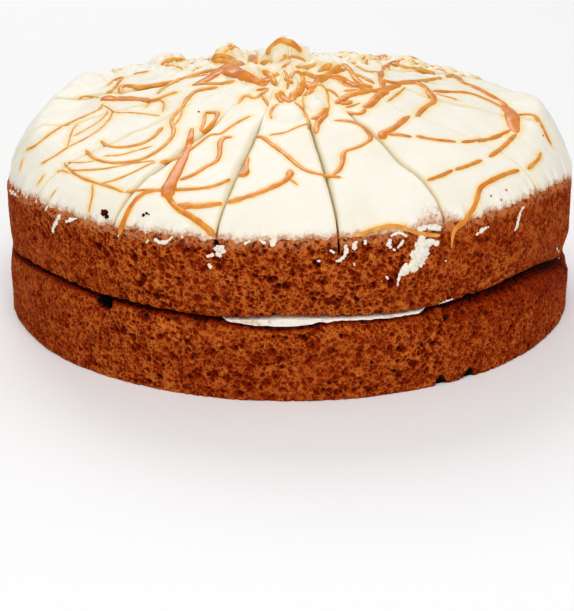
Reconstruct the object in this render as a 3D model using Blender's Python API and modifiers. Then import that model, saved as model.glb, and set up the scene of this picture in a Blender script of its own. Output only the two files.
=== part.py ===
"""A round butterscotch layer cake: two sponges, a filling and sixteen cut wedges of drizzled icing.

Metres, +Z up, origin on the ground under the centre. Angles are in degrees, from the front (-Y)
towards the right (+X), so a point is (r sin a, -r cos a).
"""

from math import atan2, cos, degrees, hypot, pi, radians, sin, sqrt
from random import Random

import bmesh
import bpy
from mathutils import Vector, noise
from mathutils.bvhtree import BVHTree

mm = 0.001

# Sponges
lower_radius = 127.7 * mm
upper_radius = 127.3 * mm
sponge_top = 67.9 * mm
dome_rise = 12 * mm
crown_radius = 124 * mm
edge_round = 2.6 * mm
side_unevenness = 0.7 * mm
sponge_columns = 60

# The top leans, higher at the right, and the layers sag at both sides, less so at the back
rim_tilt = 3 * mm
sag_comes = (52, 87)
sag_fades = (105, 160)
sag_lost = 0.6
sag_inner = 110 * mm
rim_sag = 8.2 * mm
rim_sag_right = 1.3 * mm
seam_side_sag = 10.5 * mm
seam_side_sag_right = 1.9 * mm

# Seam between the sponges, a little lower at the front, where some filling shows
seam_height = 35.2 * mm
seam_sag = 1.8 * mm
seam_wave = 0.9 * mm
layer_gap = 0.3 * mm
lower_tuck = 1.1 * mm
lower_tuck_right = 2.9 * mm
upper_tuck = 0.9 * mm
upper_tuck_right = 1.5 * mm
rim_half = 0.35 * mm

# Filling: a disc that comes out to the side in a thin strip with a thicker part at the middle
filling_half = 1.5 * mm
filling_clear = 0.3 * mm
filling_inner = 104 * mm
filling_radius = 113 * mm
filling_rim = 0.6 * mm
filling_reach = 11 * mm
filling_shows = (-17, 31)
strip_half = 0.9 * mm
lens_shows = (-13, 10)
lens_half = 2.4 * mm
lens_sag = 0.6 * mm

# Icing
icing_radius = 125.4 * mm
icing_peak = 40 * mm
icing_shoulder = 98 * mm
icing_edge = 12.6 * mm
icing_edge_back = 3.2 * mm
icing_edge_right = 1.0 * mm
shoulder_power = 2.2
wedge_unevenness = 0.9 * mm
tip_radius = 38 * mm
tip_roughness = 4 * mm
icing_rings = (125.1, 123.4, 119, 110, 97, 80, 62, 45, 30, 19, 9)
floor_rings = (118, 90, 50)

# The icing is fuller where the rim under it sags, and at the back its top leans the other way
fill_left = 4.3 * mm
fill_right = 3.2 * mm
fill_power = 1.8
fill_radii = (94 * mm, 116 * mm)
fill_fades_left = (112, 158)
fill_fades_right = (88, 108)
back_lean = 4.2 * mm
back_comes = (95, 135)

# Cuts
cut_angles = (-57, -33.5, -13, 8.6, 28.8, 54, 77, 99.5)
kerf_width = 0.8 * mm
kerf_depth = 5.5 * mm
blade_drop = 16 * mm
kerf_reach = 140 * mm
kerf_lip = 0.9
kerf_dip = 1.7 * mm
spans_per_wedge = 4

# Thick drizzle: width in millimetres, then (radius in millimetres, angle) along each strand. These are
# places on a level cake of this height, seen from the eye; each is moved along its line of sight.
eye = Vector((0, -719.4, 277.6)) * mm
level_top = 68.6 * mm
sight_step = 0.5 * mm
sight_reach = 45 * mm
drizzle = (
    (5.0, (84, -94), (77, -90), (70, -82), (66, -73), (59, -74), (52, -79)),
    (4.0, (84, -98), (79, -106), (71, -101), (60, -100), (49, -105)),
    (5.5, (38, -105), (32, -93), (27, -74), (24, -52), (22, -32)),
    (4.0, (93, -55), (93, -48), (86, -43), (73, -46)),
    (4.5, (53, -36), (62, -33.5), (67, -33)),
    (6.0, (69, -36), (80, -31.5), (92, -28.5), (103, -27), (111, -26.3)),
    (4.5, (110, -26.5), (114, -29.5), (119.5, -31), (124, -31.7)),
    (4.5, (110, -26), (117, -23), (121.5, -20), (124.5, -16)),
    (4.5, (117, -22.5), (118, -19), (116.5, -15), (113, -9.5), (107, -4), (101, -0.5), (92, 0)),
    (3.5, (68, -20), (75, -21.8), (87, -19.3), (94, -21), (103, -26)),
    (3.5, (97, -11.5), (82, -11.8), (69, -12), (67, -10), (78, -2.5), (89, 2.7), (97, 8)),
    (5.0, (28, -4), (37, -2), (33, 3), (26, 8), (26, 16)),
    (6.5, (56, 10), (51, 14.5), (46, 16.5)),
    (4.0, (57, 19), (58, 25), (66, 29), (73, 27.5), (80, 20), (86, 15.5), (95, 12), (98, 9.5)),
    (6.5, (71, 34), (78, 31)),
    (4.5, (73, 35), (79, 40), (83, 46), (90, 50), (96, 58), (99, 67), (100, 72)),
    (7.0, (97, 87), (101, 79), (100, 71)),
    (4.0, (64, 84), (69, 89), (78, 94), (88, 92), (96, 88)),
    (4.0, (82, 119), (85, 107), (91, 98), (97, 89)),
    (4.5, (101, 71), (103.5, 60), (104, 52), (104, 45), (105, 37)),
    (4.0, (116, 68), (117.5, 58), (116, 50), (116.5, 43), (121, 38.7), (124.6, 36)),
    (5.5, (54, 125), (46, 108), (43, 92), (45, 72), (45.5, 57), (47, 42)),
    (6.5, (22, 57), (32, 61), (42, 62)),
    (4.5, (53, 92), (62, 86), (65, 68), (69, 54), (68, 44), (72, 35)),
    (4.5, (43, 27), (38, 35), (40, 48)),
    (4.5, (70, 128), (76, 119), (66, 107)),
)
strand_step = 8.5 * mm
strand_sink = 0.35
strand_overlap = 0.56
back_strands = 5
back_start = 142
back_pitch = 19
back_radii = (46, 74, 96, 108, 90, 70)

# Icing peaks that stand proud: radius and angle of the centre, half width, half depth, height, in mm
peaks = (
    (9.2, -168, 11.0, 6.5, 13.0),
    (48, -142, 9.0, 7.0, 10.0),
    (24, -155, 6.0, 8.0, 5.5),
    (17, 88, 5.0, 7.0, 5.0),
    (18, -67, 5.0, 7.0, 5.0),
    (92, -140, 11.0, 8.0, 6.0),
    (106, -115, 11.0, 9.0, 2.5),
    (74, 155, 11.0, 8.0, 3.5),
    (90, 140, 10.0, 9.0, 3.5),
)
peak_sink = 0.25
peak_taper = 0.45

# Smear of icing pushed down the side, at the right of the front
smear_angles = (19.6, 28.3)
smear_drop = 26 * mm
smear_thickness = 2.2 * mm
smear_rows = 7
smear_columns = 4

# Colours, roughness
looks = {
    "sponge": ((0.26, 0.052, 0.010), 0.9),
    "filling": ((0.78, 0.66, 0.52), 0.6),
    "icing": ((0.93, 0.88, 0.76), 0.45),
}


def place(radius, angle, height):
    return Vector((radius * sin(radians(angle)), -radius * cos(radians(angle)), height))


def front_angle(x, y):
    return degrees(atan2(x, -y))


def smooth(value, low, high):
    share = min(1, max(0, (value - low) / (high - low)))
    return share * share * (3 - 2 * share)


def roughness_at(radius, angle, height, size, seed):
    return noise.noise(place(radius, angle, height) / size + Vector((seed, seed, seed)))


def between(angle, shows, edge):
    low, high = shows
    return smooth(angle, low, low + edge) * (1 - smooth(angle, high - edge, high))


def filling_share(angle):
    return between(angle, filling_shows, 7)


def lens_share(angle):
    return between(angle, lens_shows, 11)


def side_share(angle):
    """How much the layers sag here: nothing at the front, all of it at the sides."""
    away = abs(angle)
    return smooth(away, *sag_comes) * (1 - sag_lost * smooth(away, *sag_fades))


def shift_at(radius, angle):
    """How much higher or lower the top lies here than on a level and even cake."""
    right = sin(radians(angle))
    sag = (rim_sag + rim_sag_right * right) * side_share(angle)
    return rim_tilt * right * radius / upper_radius - sag * smooth(radius, sag_inner, upper_radius)


def seam_at(radius, angle):
    """Height of the middle of the seam."""
    front = seam_sag * (1 - smooth(abs(angle), 20, 50)) + lens_sag * lens_share(angle)
    side = (seam_side_sag + seam_side_sag_right * sin(radians(angle))) * side_share(angle)
    wave = seam_wave * roughness_at(upper_radius, angle, 0, 30 * mm, 9)
    return seam_height + (wave - front - side) * smooth(radius, 0, filling_inner)


def seam_half(radius, angle):
    """Half the space between the sponges: full inside, nearly closed at the rim but for the front."""
    shown = strip_half - rim_half + (lens_half - strip_half) * lens_share(angle)
    rim = rim_half + shown * filling_share(angle)
    return filling_half + (rim - filling_half) * smooth(radius, filling_inner, filling_radius)


def tuck_at(radius, angle, everywhere, right):
    """How far the sides draw in at the seam, more on the right."""
    rim = smooth(radius, crown_radius, crown_radius + edge_round)
    return rim * (everywhere + right * max(0, sin(radians(angle))))


def crown_at(radius):
    """Height of the upper sponge's top."""
    return sponge_top + dome_rise * (1 - min(1, radius / crown_radius) ** 2)


def side_shift(radius, angle, height):
    """How far the sponge's side stands out or in; nothing inside the rim."""
    rim = smooth(radius, crown_radius, crown_radius + edge_round)
    broad = roughness_at(radius, angle, height, 35 * mm, 3)
    fine = roughness_at(radius, angle, height, 11 * mm, 8)
    return side_unevenness * rim * (broad + 0.6 * fine)


def edge_height(angle):
    return (
        icing_edge
        - icing_edge_back * cos(radians(angle))
        + icing_edge_right * sin(radians(angle))
    )


def cone_height(radius, angle):
    """Height of the icing's low cone above the sponge's rim, before its shoulder is rounded."""
    edge = edge_height(angle)
    return edge + (icing_peak - edge) * max(0, 1 - radius / icing_radius) ** 1.1


def rounded_off(height, radius, power):
    """A height on the cone, brought down in a round shoulder to nothing at the icing's foot."""
    share = max(0, min(1, (radius - icing_shoulder) / (icing_radius - icing_shoulder)))
    return height * sqrt(1 - share**power)


def icing_height(radius, angle):
    """Height of the smooth icing above the sponge's rim."""
    fades, fill = (fill_fades_right, fill_right) if angle > 0 else (fill_fades_left, fill_left)
    share = smooth(abs(angle), *sag_comes) * (1 - smooth(abs(angle), *fades))
    lean = back_lean * sin(radians(angle)) * smooth(abs(angle), *back_comes) * radius / icing_radius
    height = cone_height(radius, angle) + fill * share * smooth(radius, *fill_radii) - lean
    return rounded_off(height, radius, shoulder_power + fill_power * share)


def all_cuts():
    return sorted(((angle + turn + 180) % 360) - 180 for angle in cut_angles for turn in (0, 180))


def wedge_columns():
    """Each column's angle and how deep its dip is: three at a cut, and the rest spread over a wedge."""
    cuts = all_cuts()
    columns = []
    for cut, following in zip(cuts, cuts[1:] + [cuts[0] + 360]):
        span = (following - cut - 2 * kerf_lip) / spans_per_wedge
        columns += [(cut - kerf_lip, 0), (cut, 1), (cut + kerf_lip, 0)]
        columns += [(cut + kerf_lip + span * step, 0) for step in range(1, spans_per_wedge)]
    return columns


def shade_round(mesh):
    mesh.shade_smooth()
    mesh.set_sharp_from_angle(angle=radians(40))


def new_object(name, mesh, collection):
    piece = bpy.data.objects.new(name, mesh)
    collection.objects.link(piece)
    return piece


def evaluated_mesh(piece):
    bpy.context.view_layer.update()
    depsgraph = bpy.context.evaluated_depsgraph_get()
    return bpy.data.meshes.new_from_object(piece.evaluated_get(depsgraph))


def turned(name, outline, columns, collection):
    """A closed turned form from (radius, height) points, from the axis at the top to the axis below."""
    bm = bmesh.new()
    corners = [bm.verts.new((radius, 0, height)) for radius, height in outline]
    for start, end in zip(corners, corners[1:]):
        bm.edges.new((start, end))
    profile = bpy.data.meshes.new(name)
    bm.to_mesh(profile)
    bm.free()
    piece = new_object(name, profile, collection)
    screw = piece.modifiers.new("turn", "SCREW")
    screw.steps = screw.render_steps = columns
    screw.use_merge_vertices = True
    screw.merge_threshold = 0.00001
    solid = evaluated_mesh(piece)
    piece.modifiers.clear()
    piece.data = solid
    bpy.data.meshes.remove(profile)
    return piece


def warp(piece, rule):
    """Moves each vertex to rule(radius, angle, height), which gives the same three."""
    for vertex in piece.data.vertices:
        x, y, z = vertex.co
        vertex.co = place(*rule(hypot(x, y), front_angle(x, y), z))
    shade_round(piece.data)


def paint(piece, look):
    colour, roughness = looks[look]
    material = bpy.data.materials.get(look)
    if material is None:
        material = bpy.data.materials.new(look)
        material.use_nodes = True
        shader = material.node_tree.nodes["Principled BSDF"]
        shader.inputs["Base Color"].default_value = (*colour, 1)
        shader.inputs["Roughness"].default_value = roughness
        shader.inputs["Metallic"].default_value = 0
    piece.data.materials.clear()
    piece.data.materials.append(material)


def make_lower_sponge(collection):
    middle = seam_height
    outline = [
        (0, middle),
        (filling_inner, middle),
        (filling_radius, middle),
        (lower_radius - 1 * mm, middle - 0.2 * mm),
        (lower_radius, middle - 1.4 * mm),
        (lower_radius, middle - 6 * mm),
        (lower_radius + 0.2 * mm, middle * 0.5),
        (lower_radius, 2.5 * mm),
        (lower_radius - 0.7 * mm, 0),
        (0, 0),
    ]

    def rule(radius, angle, height):
        seam = seam_at(radius, angle) - seam_half(radius, angle) - layer_gap
        tuck = tuck_at(radius, angle, lower_tuck, lower_tuck_right)
        new_radius = radius + side_shift(radius, angle, height)
        new_radius -= tuck * smooth(height, middle - 10 * mm, middle)
        return new_radius, angle, height * seam / middle

    piece = turned("lower_sponge", outline, sponge_columns, collection)
    warp(piece, rule)
    paint(piece, "sponge")
    return piece


def make_filling(collection):
    rings = (0, filling_inner, filling_radius, filling_radius + filling_rim)
    outline = [(ring, filling_half) for ring in rings]
    outline += [(ring, -filling_half) for ring in reversed(rings)]

    def rule(radius, angle, height):
        reach = filling_reach + 0.9 * mm * roughness_at(filling_radius, angle, 0, 6 * mm, 5)
        spread = smooth(radius, filling_radius, filling_radius + filling_rim) * filling_share(angle)
        new_radius = radius + reach * spread
        ragged = 1 - 0.45 * abs(roughness_at(filling_radius, angle, height, 9 * mm, 2)) * spread
        half = (seam_half(new_radius, angle) - filling_clear) * ragged
        return new_radius, angle, seam_at(new_radius, angle) + half * height / filling_half

    piece = turned("filling", outline, sponge_columns, collection)
    warp(piece, rule)
    paint(piece, "filling")
    return piece


def make_upper_sponge(collection):
    base = seam_height
    rise = sponge_top - base
    outline = [(0, sponge_top)]
    outline += [(ring * mm, sponge_top) for ring in reversed(floor_rings)]
    outline += [
        (crown_radius, sponge_top),
        (upper_radius - 1.2 * mm, sponge_top - 0.5 * mm),
        (upper_radius, sponge_top - edge_round),
        (upper_radius + 0.4 * mm, base + rise * 0.62),
        (upper_radius, base + rise * 0.3),
        (upper_radius - 0.2 * mm, base + 1.6 * mm),
        (upper_radius - 1.2 * mm, base + 0.2 * mm),
        (filling_radius, base),
        (filling_inner, base),
        (0, base),
    ]

    def rule(radius, angle, height):
        seam = seam_at(radius, angle) + seam_half(radius, angle) + layer_gap
        share = (height - base) / rise
        top = crown_at(radius) if share > 0.99 else sponge_top
        top += shift_at(radius, angle)
        tuck = tuck_at(radius, angle, upper_tuck, upper_tuck_right)
        new_radius = radius + side_shift(radius, angle, height)
        new_radius -= tuck * (1 - smooth(height, base, base + 12 * mm))
        return new_radius, angle, seam + (top - seam) * share

    piece = turned("upper_sponge", outline, sponge_columns, collection)
    warp(piece, rule)
    paint(piece, "sponge")
    return piece


def make_icing(collection):
    """The whole icing before it is cut, with a dip along each cut and each wedge a little uneven."""
    above = 1 * mm
    outline = [(0, above)]
    outline += [(ring * mm, above) for ring in reversed(icing_rings)]
    outline += [(icing_radius, 0)]
    outline += [(ring * mm, -above) for ring in floor_rings]
    outline += [(0, -above)]
    columns = wedge_columns()
    draw = Random(11)
    lifts = [draw.uniform(-1, 1) * wedge_unevenness for _ in all_cuts()]
    per_wedge = len(columns) // len(lifts)

    def rule(radius, angle, height):
        index = round((angle % 360) / 360 * len(columns)) % len(columns)
        column_angle, dip = columns[index]
        wedge = ((index - 2) // per_wedge) % len(lifts)
        ground = layer_gap + shift_at(radius, column_angle)
        if height < 0:
            return radius, column_angle, crown_at(radius) + ground
        if height == 0:
            return radius, column_angle, sponge_top + ground
        inward = 1 - smooth(radius, 0.3 * tip_radius, tip_radius)
        shoulder = smooth(icing_radius - radius, 0.2 * mm, 6 * mm)
        wave = roughness_at(radius, column_angle, 0, 24 * mm, 4) * 1.2 * mm
        tips = roughness_at(radius, column_angle, 0, 7 * mm, 6) * tip_roughness * inward
        change = (lifts[wedge] + wave - dip * kerf_dip) * shoulder + tips
        return radius, column_angle, sponge_top + ground + icing_height(radius, column_angle) + change

    piece = turned("icing", outline, len(columns), collection)
    warp(piece, rule)
    return piece


def surface_of(piece):
    """A function that gives the height of a piece's upper face over a point."""
    bm = bmesh.new()
    bm.from_mesh(piece.data)
    tree = BVHTree.FromBMesh(bm)
    bm.free()
    above = 200 * mm

    def height_at(radius, angle):
        spot = tree.ray_cast(place(radius, angle, above), Vector((0, 0, -1)))[0]
        return spot.z

    return height_at


def icing_top(spot):
    """Height of the smooth icing over or under a spot, or nothing outside its rim."""
    radius, angle = hypot(spot.x, spot.y), front_angle(spot.x, spot.y)
    if radius > icing_radius:
        return 0
    return sponge_top + layer_gap + icing_height(radius, angle) + shift_at(radius, angle)


def on_real_top(radius, angle):
    """The spot on the icing that looks from the eye as this place on a level cake does."""
    height = rounded_off(cone_height(radius, angle), radius, shoulder_power)
    level = place(radius, angle, level_top + layer_gap + height)
    way = (level - eye).normalized()
    steps = round(sight_reach / sight_step)
    for step in range(-steps, steps):
        spot = level + way * (step * sight_step)
        if spot.z < icing_top(spot):
            return Vector((spot.x, spot.y, 0))
    return place(radius, angle, 0)


def spline_points(spots):
    """A smooth route through spots, in steps of about strand_step."""
    spots = [spots[0] * 2 - spots[1]] + spots + [spots[-1] * 2 - spots[-2]]
    route = []
    for before, start, end, after in zip(spots, spots[1:], spots[2:], spots[3:]):
        steps = max(1, round((end - start).length / strand_step))
        for step in range(steps):
            t = step / steps
            route.append(
                0.5
                * (
                    2 * start
                    + (end - before) * t
                    + (2 * before - 5 * start + 4 * end - after) * t**2
                    + (3 * start - before - 3 * end + after) * t**3
                )
            )
    return route + [spots[-2]]


def back_drizzle():
    """Zigzags for the half that the front doesn't show."""
    draw = Random(5)
    strands = []
    for index in range(back_strands):
        angle = back_start + index * back_pitch
        corners = []
        for radius in back_radii:
            corners.append((radius + draw.uniform(-7, 7), angle))
            angle += draw.uniform(3, 11)
        strands.append((draw.uniform(3.8, 5), *corners))
    return strands


def make_strand(width, corners, height_at, collection, seen):
    radius = width * mm * strand_overlap
    rule = on_real_top if seen else lambda reach, angle: place(reach, angle, 0)
    route = []
    for spot in spline_points([rule(reach * mm, angle) for reach, angle in corners]):
        reach = min(hypot(spot.x, spot.y), icing_radius - 0.2 * mm)
        angle = front_angle(spot.x, spot.y)
        route.append(place(reach, angle, height_at(reach, angle) - strand_sink * radius))
    curve = bpy.data.curves.new("strand", "CURVE")
    curve.dimensions = "3D"
    curve.bevel_depth = radius
    curve.bevel_resolution = 1
    curve.use_fill_caps = True
    line = curve.splines.new("POLY")
    line.points.add(len(route) - 1)
    for index, spot in enumerate(route):
        line.points[index].co = (*spot, 1)
        line.points[index].radius = 0.65 if index in (0, len(route) - 1) else 1
    tube = new_object("strand", curve, collection)
    mesh = evaluated_mesh(tube)
    bm = bmesh.new()
    bm.from_mesh(mesh)
    bmesh.ops.remove_doubles(bm, verts=bm.verts, dist=0.00001)
    bmesh.ops.recalc_face_normals(bm, faces=bm.faces)
    bm.to_mesh(mesh)
    bm.free()
    strand = new_object("strand_mesh", mesh, collection)
    strand.matrix_world = tube.matrix_world
    bpy.data.objects.remove(tube)
    bpy.data.curves.remove(curve)
    return strand


def make_peak(radius, angle, width, depth, height, height_at, collection):
    bm = bmesh.new()
    bmesh.ops.create_icosphere(bm, subdivisions=2, radius=1)
    for vertex in bm.verts:
        vertex.co *= 1 + 0.25 * noise.noise(vertex.co * 1.3 + Vector((radius, angle, 0)))
        narrowing = 1 - peak_taper * max(0, vertex.co.z)
        vertex.co.x *= narrowing
        vertex.co.y *= narrowing
    bmesh.ops.scale(bm, vec=(width * mm, depth * mm, height * mm), verts=bm.verts)
    mesh = bpy.data.meshes.new("peak")
    bm.to_mesh(mesh)
    bm.free()
    peak = new_object("peak", mesh, collection)
    ground = height_at(radius * mm, angle) - peak_sink * height * mm
    peak.location = place(radius * mm, angle, ground)
    peak.rotation_euler.z = radians(angle)
    return peak


def make_smear(collection):
    """A tongue of icing from the icing's foot over the sponge's rim and down its side."""
    bm = bmesh.new()
    bmesh.ops.create_grid(bm, x_segments=smear_columns, y_segments=smear_rows, size=0.5)
    outer = bmesh.ops.extrude_face_region(bm, geom=bm.faces[:])["geom"]
    outer = {item for item in outer if isinstance(item, bmesh.types.BMVert)}
    left, right = smear_angles
    clear = upper_radius + side_unevenness + layer_gap + 0.3 * mm
    for vertex in bm.verts:
        across, down = vertex.co.x + 0.5, 0.5 - vertex.co.y
        narrowing = sqrt(1.02 - down**2) * (0.62 + 0.16 * sin(4 * pi * down))
        lean = (right - left) * (0.68 - 0.5 * down)
        angle = left + lean + (right - left) * (across - 0.5) * narrowing
        lift = smear_thickness * (0.2 + 0.8 * sin(pi * across)) * (1 - 0.5 * down)
        turn = radians(90 * smooth(down, 0, 0.3))
        start = sponge_top + shift_at(upper_radius, angle) + 1 * mm
        inner = Vector((clear - 5 * mm * (1 - sin(turn)), start - smear_drop * max(0, down - 0.12)))
        if vertex in outer:
            inner += lift * Vector((sin(turn), cos(turn)))
        vertex.co = place(inner.x, angle, inner.y)
    bmesh.ops.recalc_face_normals(bm, faces=bm.faces)
    mesh = bpy.data.meshes.new("smear")
    bm.to_mesh(mesh)
    bm.free()
    return new_object("smear", mesh, collection)


def make_blades(collection):
    for angle in cut_angles:
        bpy.ops.mesh.primitive_cube_add(size=1, scale=(kerf_width, 2 * kerf_reach, 120 * mm))
        blade = bpy.context.object
        bpy.ops.object.transform_apply(location=False, rotation=False, scale=True)
        blade.name = "blade"
        blade.rotation_euler.z = radians(angle)
        blade.location.z = sponge_top - blade_drop + 60 * mm
        for home in blade.users_collection:
            home.objects.unlink(blade)
        collection.objects.link(blade)


def make_notches(collection):
    """Short blades that notch the sponge's rim where the knife went through."""
    length = 18 * mm
    for angle in all_cuts():
        bpy.ops.mesh.primitive_cube_add(size=1, scale=(kerf_width, length, 3 * kerf_depth))
        notch = bpy.context.object
        bpy.ops.object.transform_apply(location=False, rotation=False, scale=True)
        notch.name = "notch"
        notch.rotation_euler.z = radians(angle)
        rim = sponge_top + shift_at(upper_radius, angle)
        notch.location = place(icing_radius, angle, rim + kerf_depth / 2)
        for home in notch.users_collection:
            home.objects.unlink(notch)
        collection.objects.link(notch)


def combine(piece, operation, tools):
    """Applies one Boolean with a whole collection, and removes the collection's objects."""
    boolean = piece.modifiers.new(operation.lower(), "BOOLEAN")
    boolean.operation = operation
    boolean.operand_type = "COLLECTION"
    boolean.collection = tools
    joined = evaluated_mesh(piece)
    piece.modifiers.clear()
    piece.data = joined
    for tool in list(tools.objects):
        bpy.data.objects.remove(tool)
    bpy.data.collections.remove(tools)


def split_wedges(piece, collection):
    """Separates the cut icing, drops scraps, and names the wedges round from the front to the right."""
    smallest = 2e-6
    bpy.ops.object.select_all(action="DESELECT")
    piece.select_set(True)
    bpy.context.view_layer.objects.active = piece
    bpy.ops.object.mode_set(mode="EDIT")
    bpy.ops.mesh.select_all(action="SELECT")
    bpy.ops.mesh.separate(type="LOOSE")
    bpy.ops.object.mode_set(mode="OBJECT")
    wedges = []
    for part in list(bpy.context.selected_objects):
        bm = bmesh.new()
        bm.from_mesh(part.data)
        volume = bm.calc_volume()
        bm.free()
        if volume < smallest:
            bpy.data.objects.remove(part)
            continue
        middle = sum((vertex.co for vertex in part.data.vertices), Vector()) / len(part.data.vertices)
        wedges.append((front_angle(middle.x, middle.y) % 360, part))
    first_cut = max(angle for angle in all_cuts() if angle < 0) % 360
    wedges.sort(key=lambda wedge: (wedge[0] - first_cut) % 360)
    for index, (_, part) in enumerate(wedges):
        part.name = f"icing_{index + 1:02d}"
        shade_round(part.data)
        paint(part, "icing")


def hide_tools(tools):
    for tool in tools.objects:
        tool.hide_render = True
        tool.display_type = "WIRE"


def new_collection(name):
    collection = bpy.data.collections.new(name)
    bpy.context.scene.collection.children.link(collection)
    return collection


def build():
    for old in list(bpy.data.objects):
        bpy.data.objects.remove(old)
    cake = new_collection("butterscotch_cake")
    make_lower_sponge(cake)
    make_filling(cake)
    upper = make_upper_sponge(cake)
    notches = new_collection("notches")
    make_notches(notches)
    hide_tools(notches)
    combine(upper, "DIFFERENCE", notches)
    shade_round(upper.data)

    icing = make_icing(cake)
    height_at = surface_of(icing)
    toppings = new_collection("toppings")
    for width, *corners in drizzle:
        make_strand(width, corners, height_at, toppings, seen=True)
    for width, *corners in back_drizzle():
        make_strand(width, corners, height_at, toppings, seen=False)
    for peak in peaks:
        make_peak(*peak, height_at, toppings)
    make_smear(toppings)
    combine(icing, "UNION", toppings)
    blades = new_collection("blades")
    make_blades(blades)
    hide_tools(blades)
    combine(icing, "DIFFERENCE", blades)
    split_wedges(icing, cake)


build()
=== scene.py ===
from math import asin, atan2, ceil, cos, degrees, hypot, pi, radians, sin, sqrt
from random import Random

import bpy
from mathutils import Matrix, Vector, noise
from mathutils.bvhtree import BVHTree
from mathutils.kdtree import KDTree


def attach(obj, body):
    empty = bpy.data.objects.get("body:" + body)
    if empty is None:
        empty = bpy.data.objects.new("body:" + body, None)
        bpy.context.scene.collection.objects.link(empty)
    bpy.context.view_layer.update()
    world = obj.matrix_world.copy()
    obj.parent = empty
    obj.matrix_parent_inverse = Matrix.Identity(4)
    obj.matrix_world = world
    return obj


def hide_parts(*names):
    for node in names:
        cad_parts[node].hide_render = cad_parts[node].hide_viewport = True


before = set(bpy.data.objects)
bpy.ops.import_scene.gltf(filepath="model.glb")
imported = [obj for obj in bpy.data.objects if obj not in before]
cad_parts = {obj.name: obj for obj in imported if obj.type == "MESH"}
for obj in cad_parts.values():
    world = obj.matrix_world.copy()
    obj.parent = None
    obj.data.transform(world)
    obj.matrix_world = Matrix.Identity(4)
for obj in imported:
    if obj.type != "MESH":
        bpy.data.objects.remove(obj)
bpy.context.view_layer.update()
mm = 0.001
tiny = 0.01 * mm

# Metres and degrees. Angles go from the front (-Y) towards the right (+X).
camera = {
    "place": (0, -0.7194, 0.2776),
    "look": (-0.0015, 0.9287, -0.3709),
    "lens": 97.0,
    "sensor": 36,
    "frame": (574, 611),
}

bpy.ops.object.camera_add(location=camera["place"])
view = bpy.context.object
view.name = "camera"
view.rotation_euler = Vector(camera["look"]).to_track_quat("-Z", "Y").to_euler()
view.data.lens = camera["lens"]
view.data.sensor_width = camera["sensor"]
bpy.context.scene.camera = view
bpy.context.scene.view_settings.view_transform = "Standard"
print("camera ready")


def sightLine(x, y):
    # the direction from the camera through a point of its picture
    forward = Vector(camera["look"]).normalized()
    across = forward.cross(Vector((0, 0, 1))).normalized()
    up = across.cross(forward)
    wide, tall = camera["frame"]
    reach = camera["lens"] / camera["sensor"] * tall
    return (forward + across * ((x - wide / 2) / reach) - up * ((y - tall / 2) / reach)).normalized()


def place(radius, angle, height):
    return Vector((radius * sin(radians(angle)), -radius * cos(radians(angle)), height))


def frontAngle(x, y):
    return degrees(atan2(x, -y))


def smooth(value, low, high):
    share = min(1, max(0, (value - low) / (high - low)))
    return share * share * (3 - 2 * share)


def between(angle, shows, edge):
    low, high = shows
    return smooth(angle, low, low + edge) * (1 - smooth(angle, high - edge, high))


def roughnessAt(radius, angle, height, size, seed):
    return noise.noise(place(radius, angle, height) / size + Vector((seed, seed, seed)))


def raggedAt(radius, angle, ragged):
    # unevenness of two sizes round a rim; the second has a share of the first's strength
    first, second, share, seed = ragged
    fine = roughnessAt(radius, angle, 0, second, seed + 1)
    return roughnessAt(radius, angle, 0, first, seed) + share * fine


def deselectAll():
    if bpy.context.object and bpy.context.object.mode != "OBJECT":
        bpy.ops.object.mode_set(mode="OBJECT")
    bpy.ops.object.select_all(action="DESELECT")


def makeActive(piece):
    deselectAll()
    piece.select_set(True)
    bpy.context.view_layer.objects.active = piece


def settle(piece):
    # the object goes to the origin, with its place in its mesh
    makeActive(piece)
    bpy.ops.object.transform_apply(location=True, rotation=True, scale=True)


def closeShape(piece, distance=0.00002):
    makeActive(piece)
    bpy.ops.object.mode_set(mode="EDIT")
    bpy.ops.mesh.select_all(action="SELECT")
    bpy.ops.mesh.remove_doubles(threshold=distance)
    bpy.ops.mesh.normals_make_consistent(inside=False)
    bpy.ops.object.mode_set(mode="OBJECT")


def shadeRound(piece, angle=50):
    makeActive(piece)
    bpy.ops.object.shade_smooth_by_angle(angle=radians(angle))


def joinPieces(pieces, name):
    deselectAll()
    for piece in pieces:
        piece.select_set(True)
    bpy.context.view_layer.objects.active = pieces[0]
    bpy.ops.object.join()
    pieces[0].name = name
    return pieces[0]


def facesOf(piece):
    return [tuple(face.vertices) for face in piece.data.polygons]


def treeOf(*skins):
    # a tree to find where lines meet these skins, each a list of corners and a list of faces
    allCorners, allFaces = [], []
    for corners, faces in skins:
        first = len(allCorners)
        allCorners += corners
        allFaces += [[first + corner for corner in face] for face in faces]
    return BVHTree.FromPolygons(allCorners, allFaces)


def setValues(piece, name, values):
    layer = piece.data.attributes.new(name=name, type="FLOAT", domain="POINT")
    layer.data.foreach_set("value", values)


def dress(piece, look, slot, *nodes):
    piece.data.materials.clear()
    piece.data.materials.append(look)
    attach(piece, "root")
    if nodes:
        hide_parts(*nodes)


def newLook(name):
    look = bpy.data.materials.new(name)
    look.use_nodes = True
    tree = look.node_tree
    return look, tree, tree.nodes["Principled BSDF"]


def noiseNode(tree, size, detail=2):
    # size is the grain's size in metres
    coords = tree.nodes.new("ShaderNodeTexCoord")
    texture = tree.nodes.new("ShaderNodeTexNoise")
    texture.inputs["Scale"].default_value = 1 / size
    texture.inputs["Detail"].default_value = detail
    tree.links.new(coords.outputs["Object"], texture.inputs["Vector"])
    return texture.outputs["Fac"]


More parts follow.
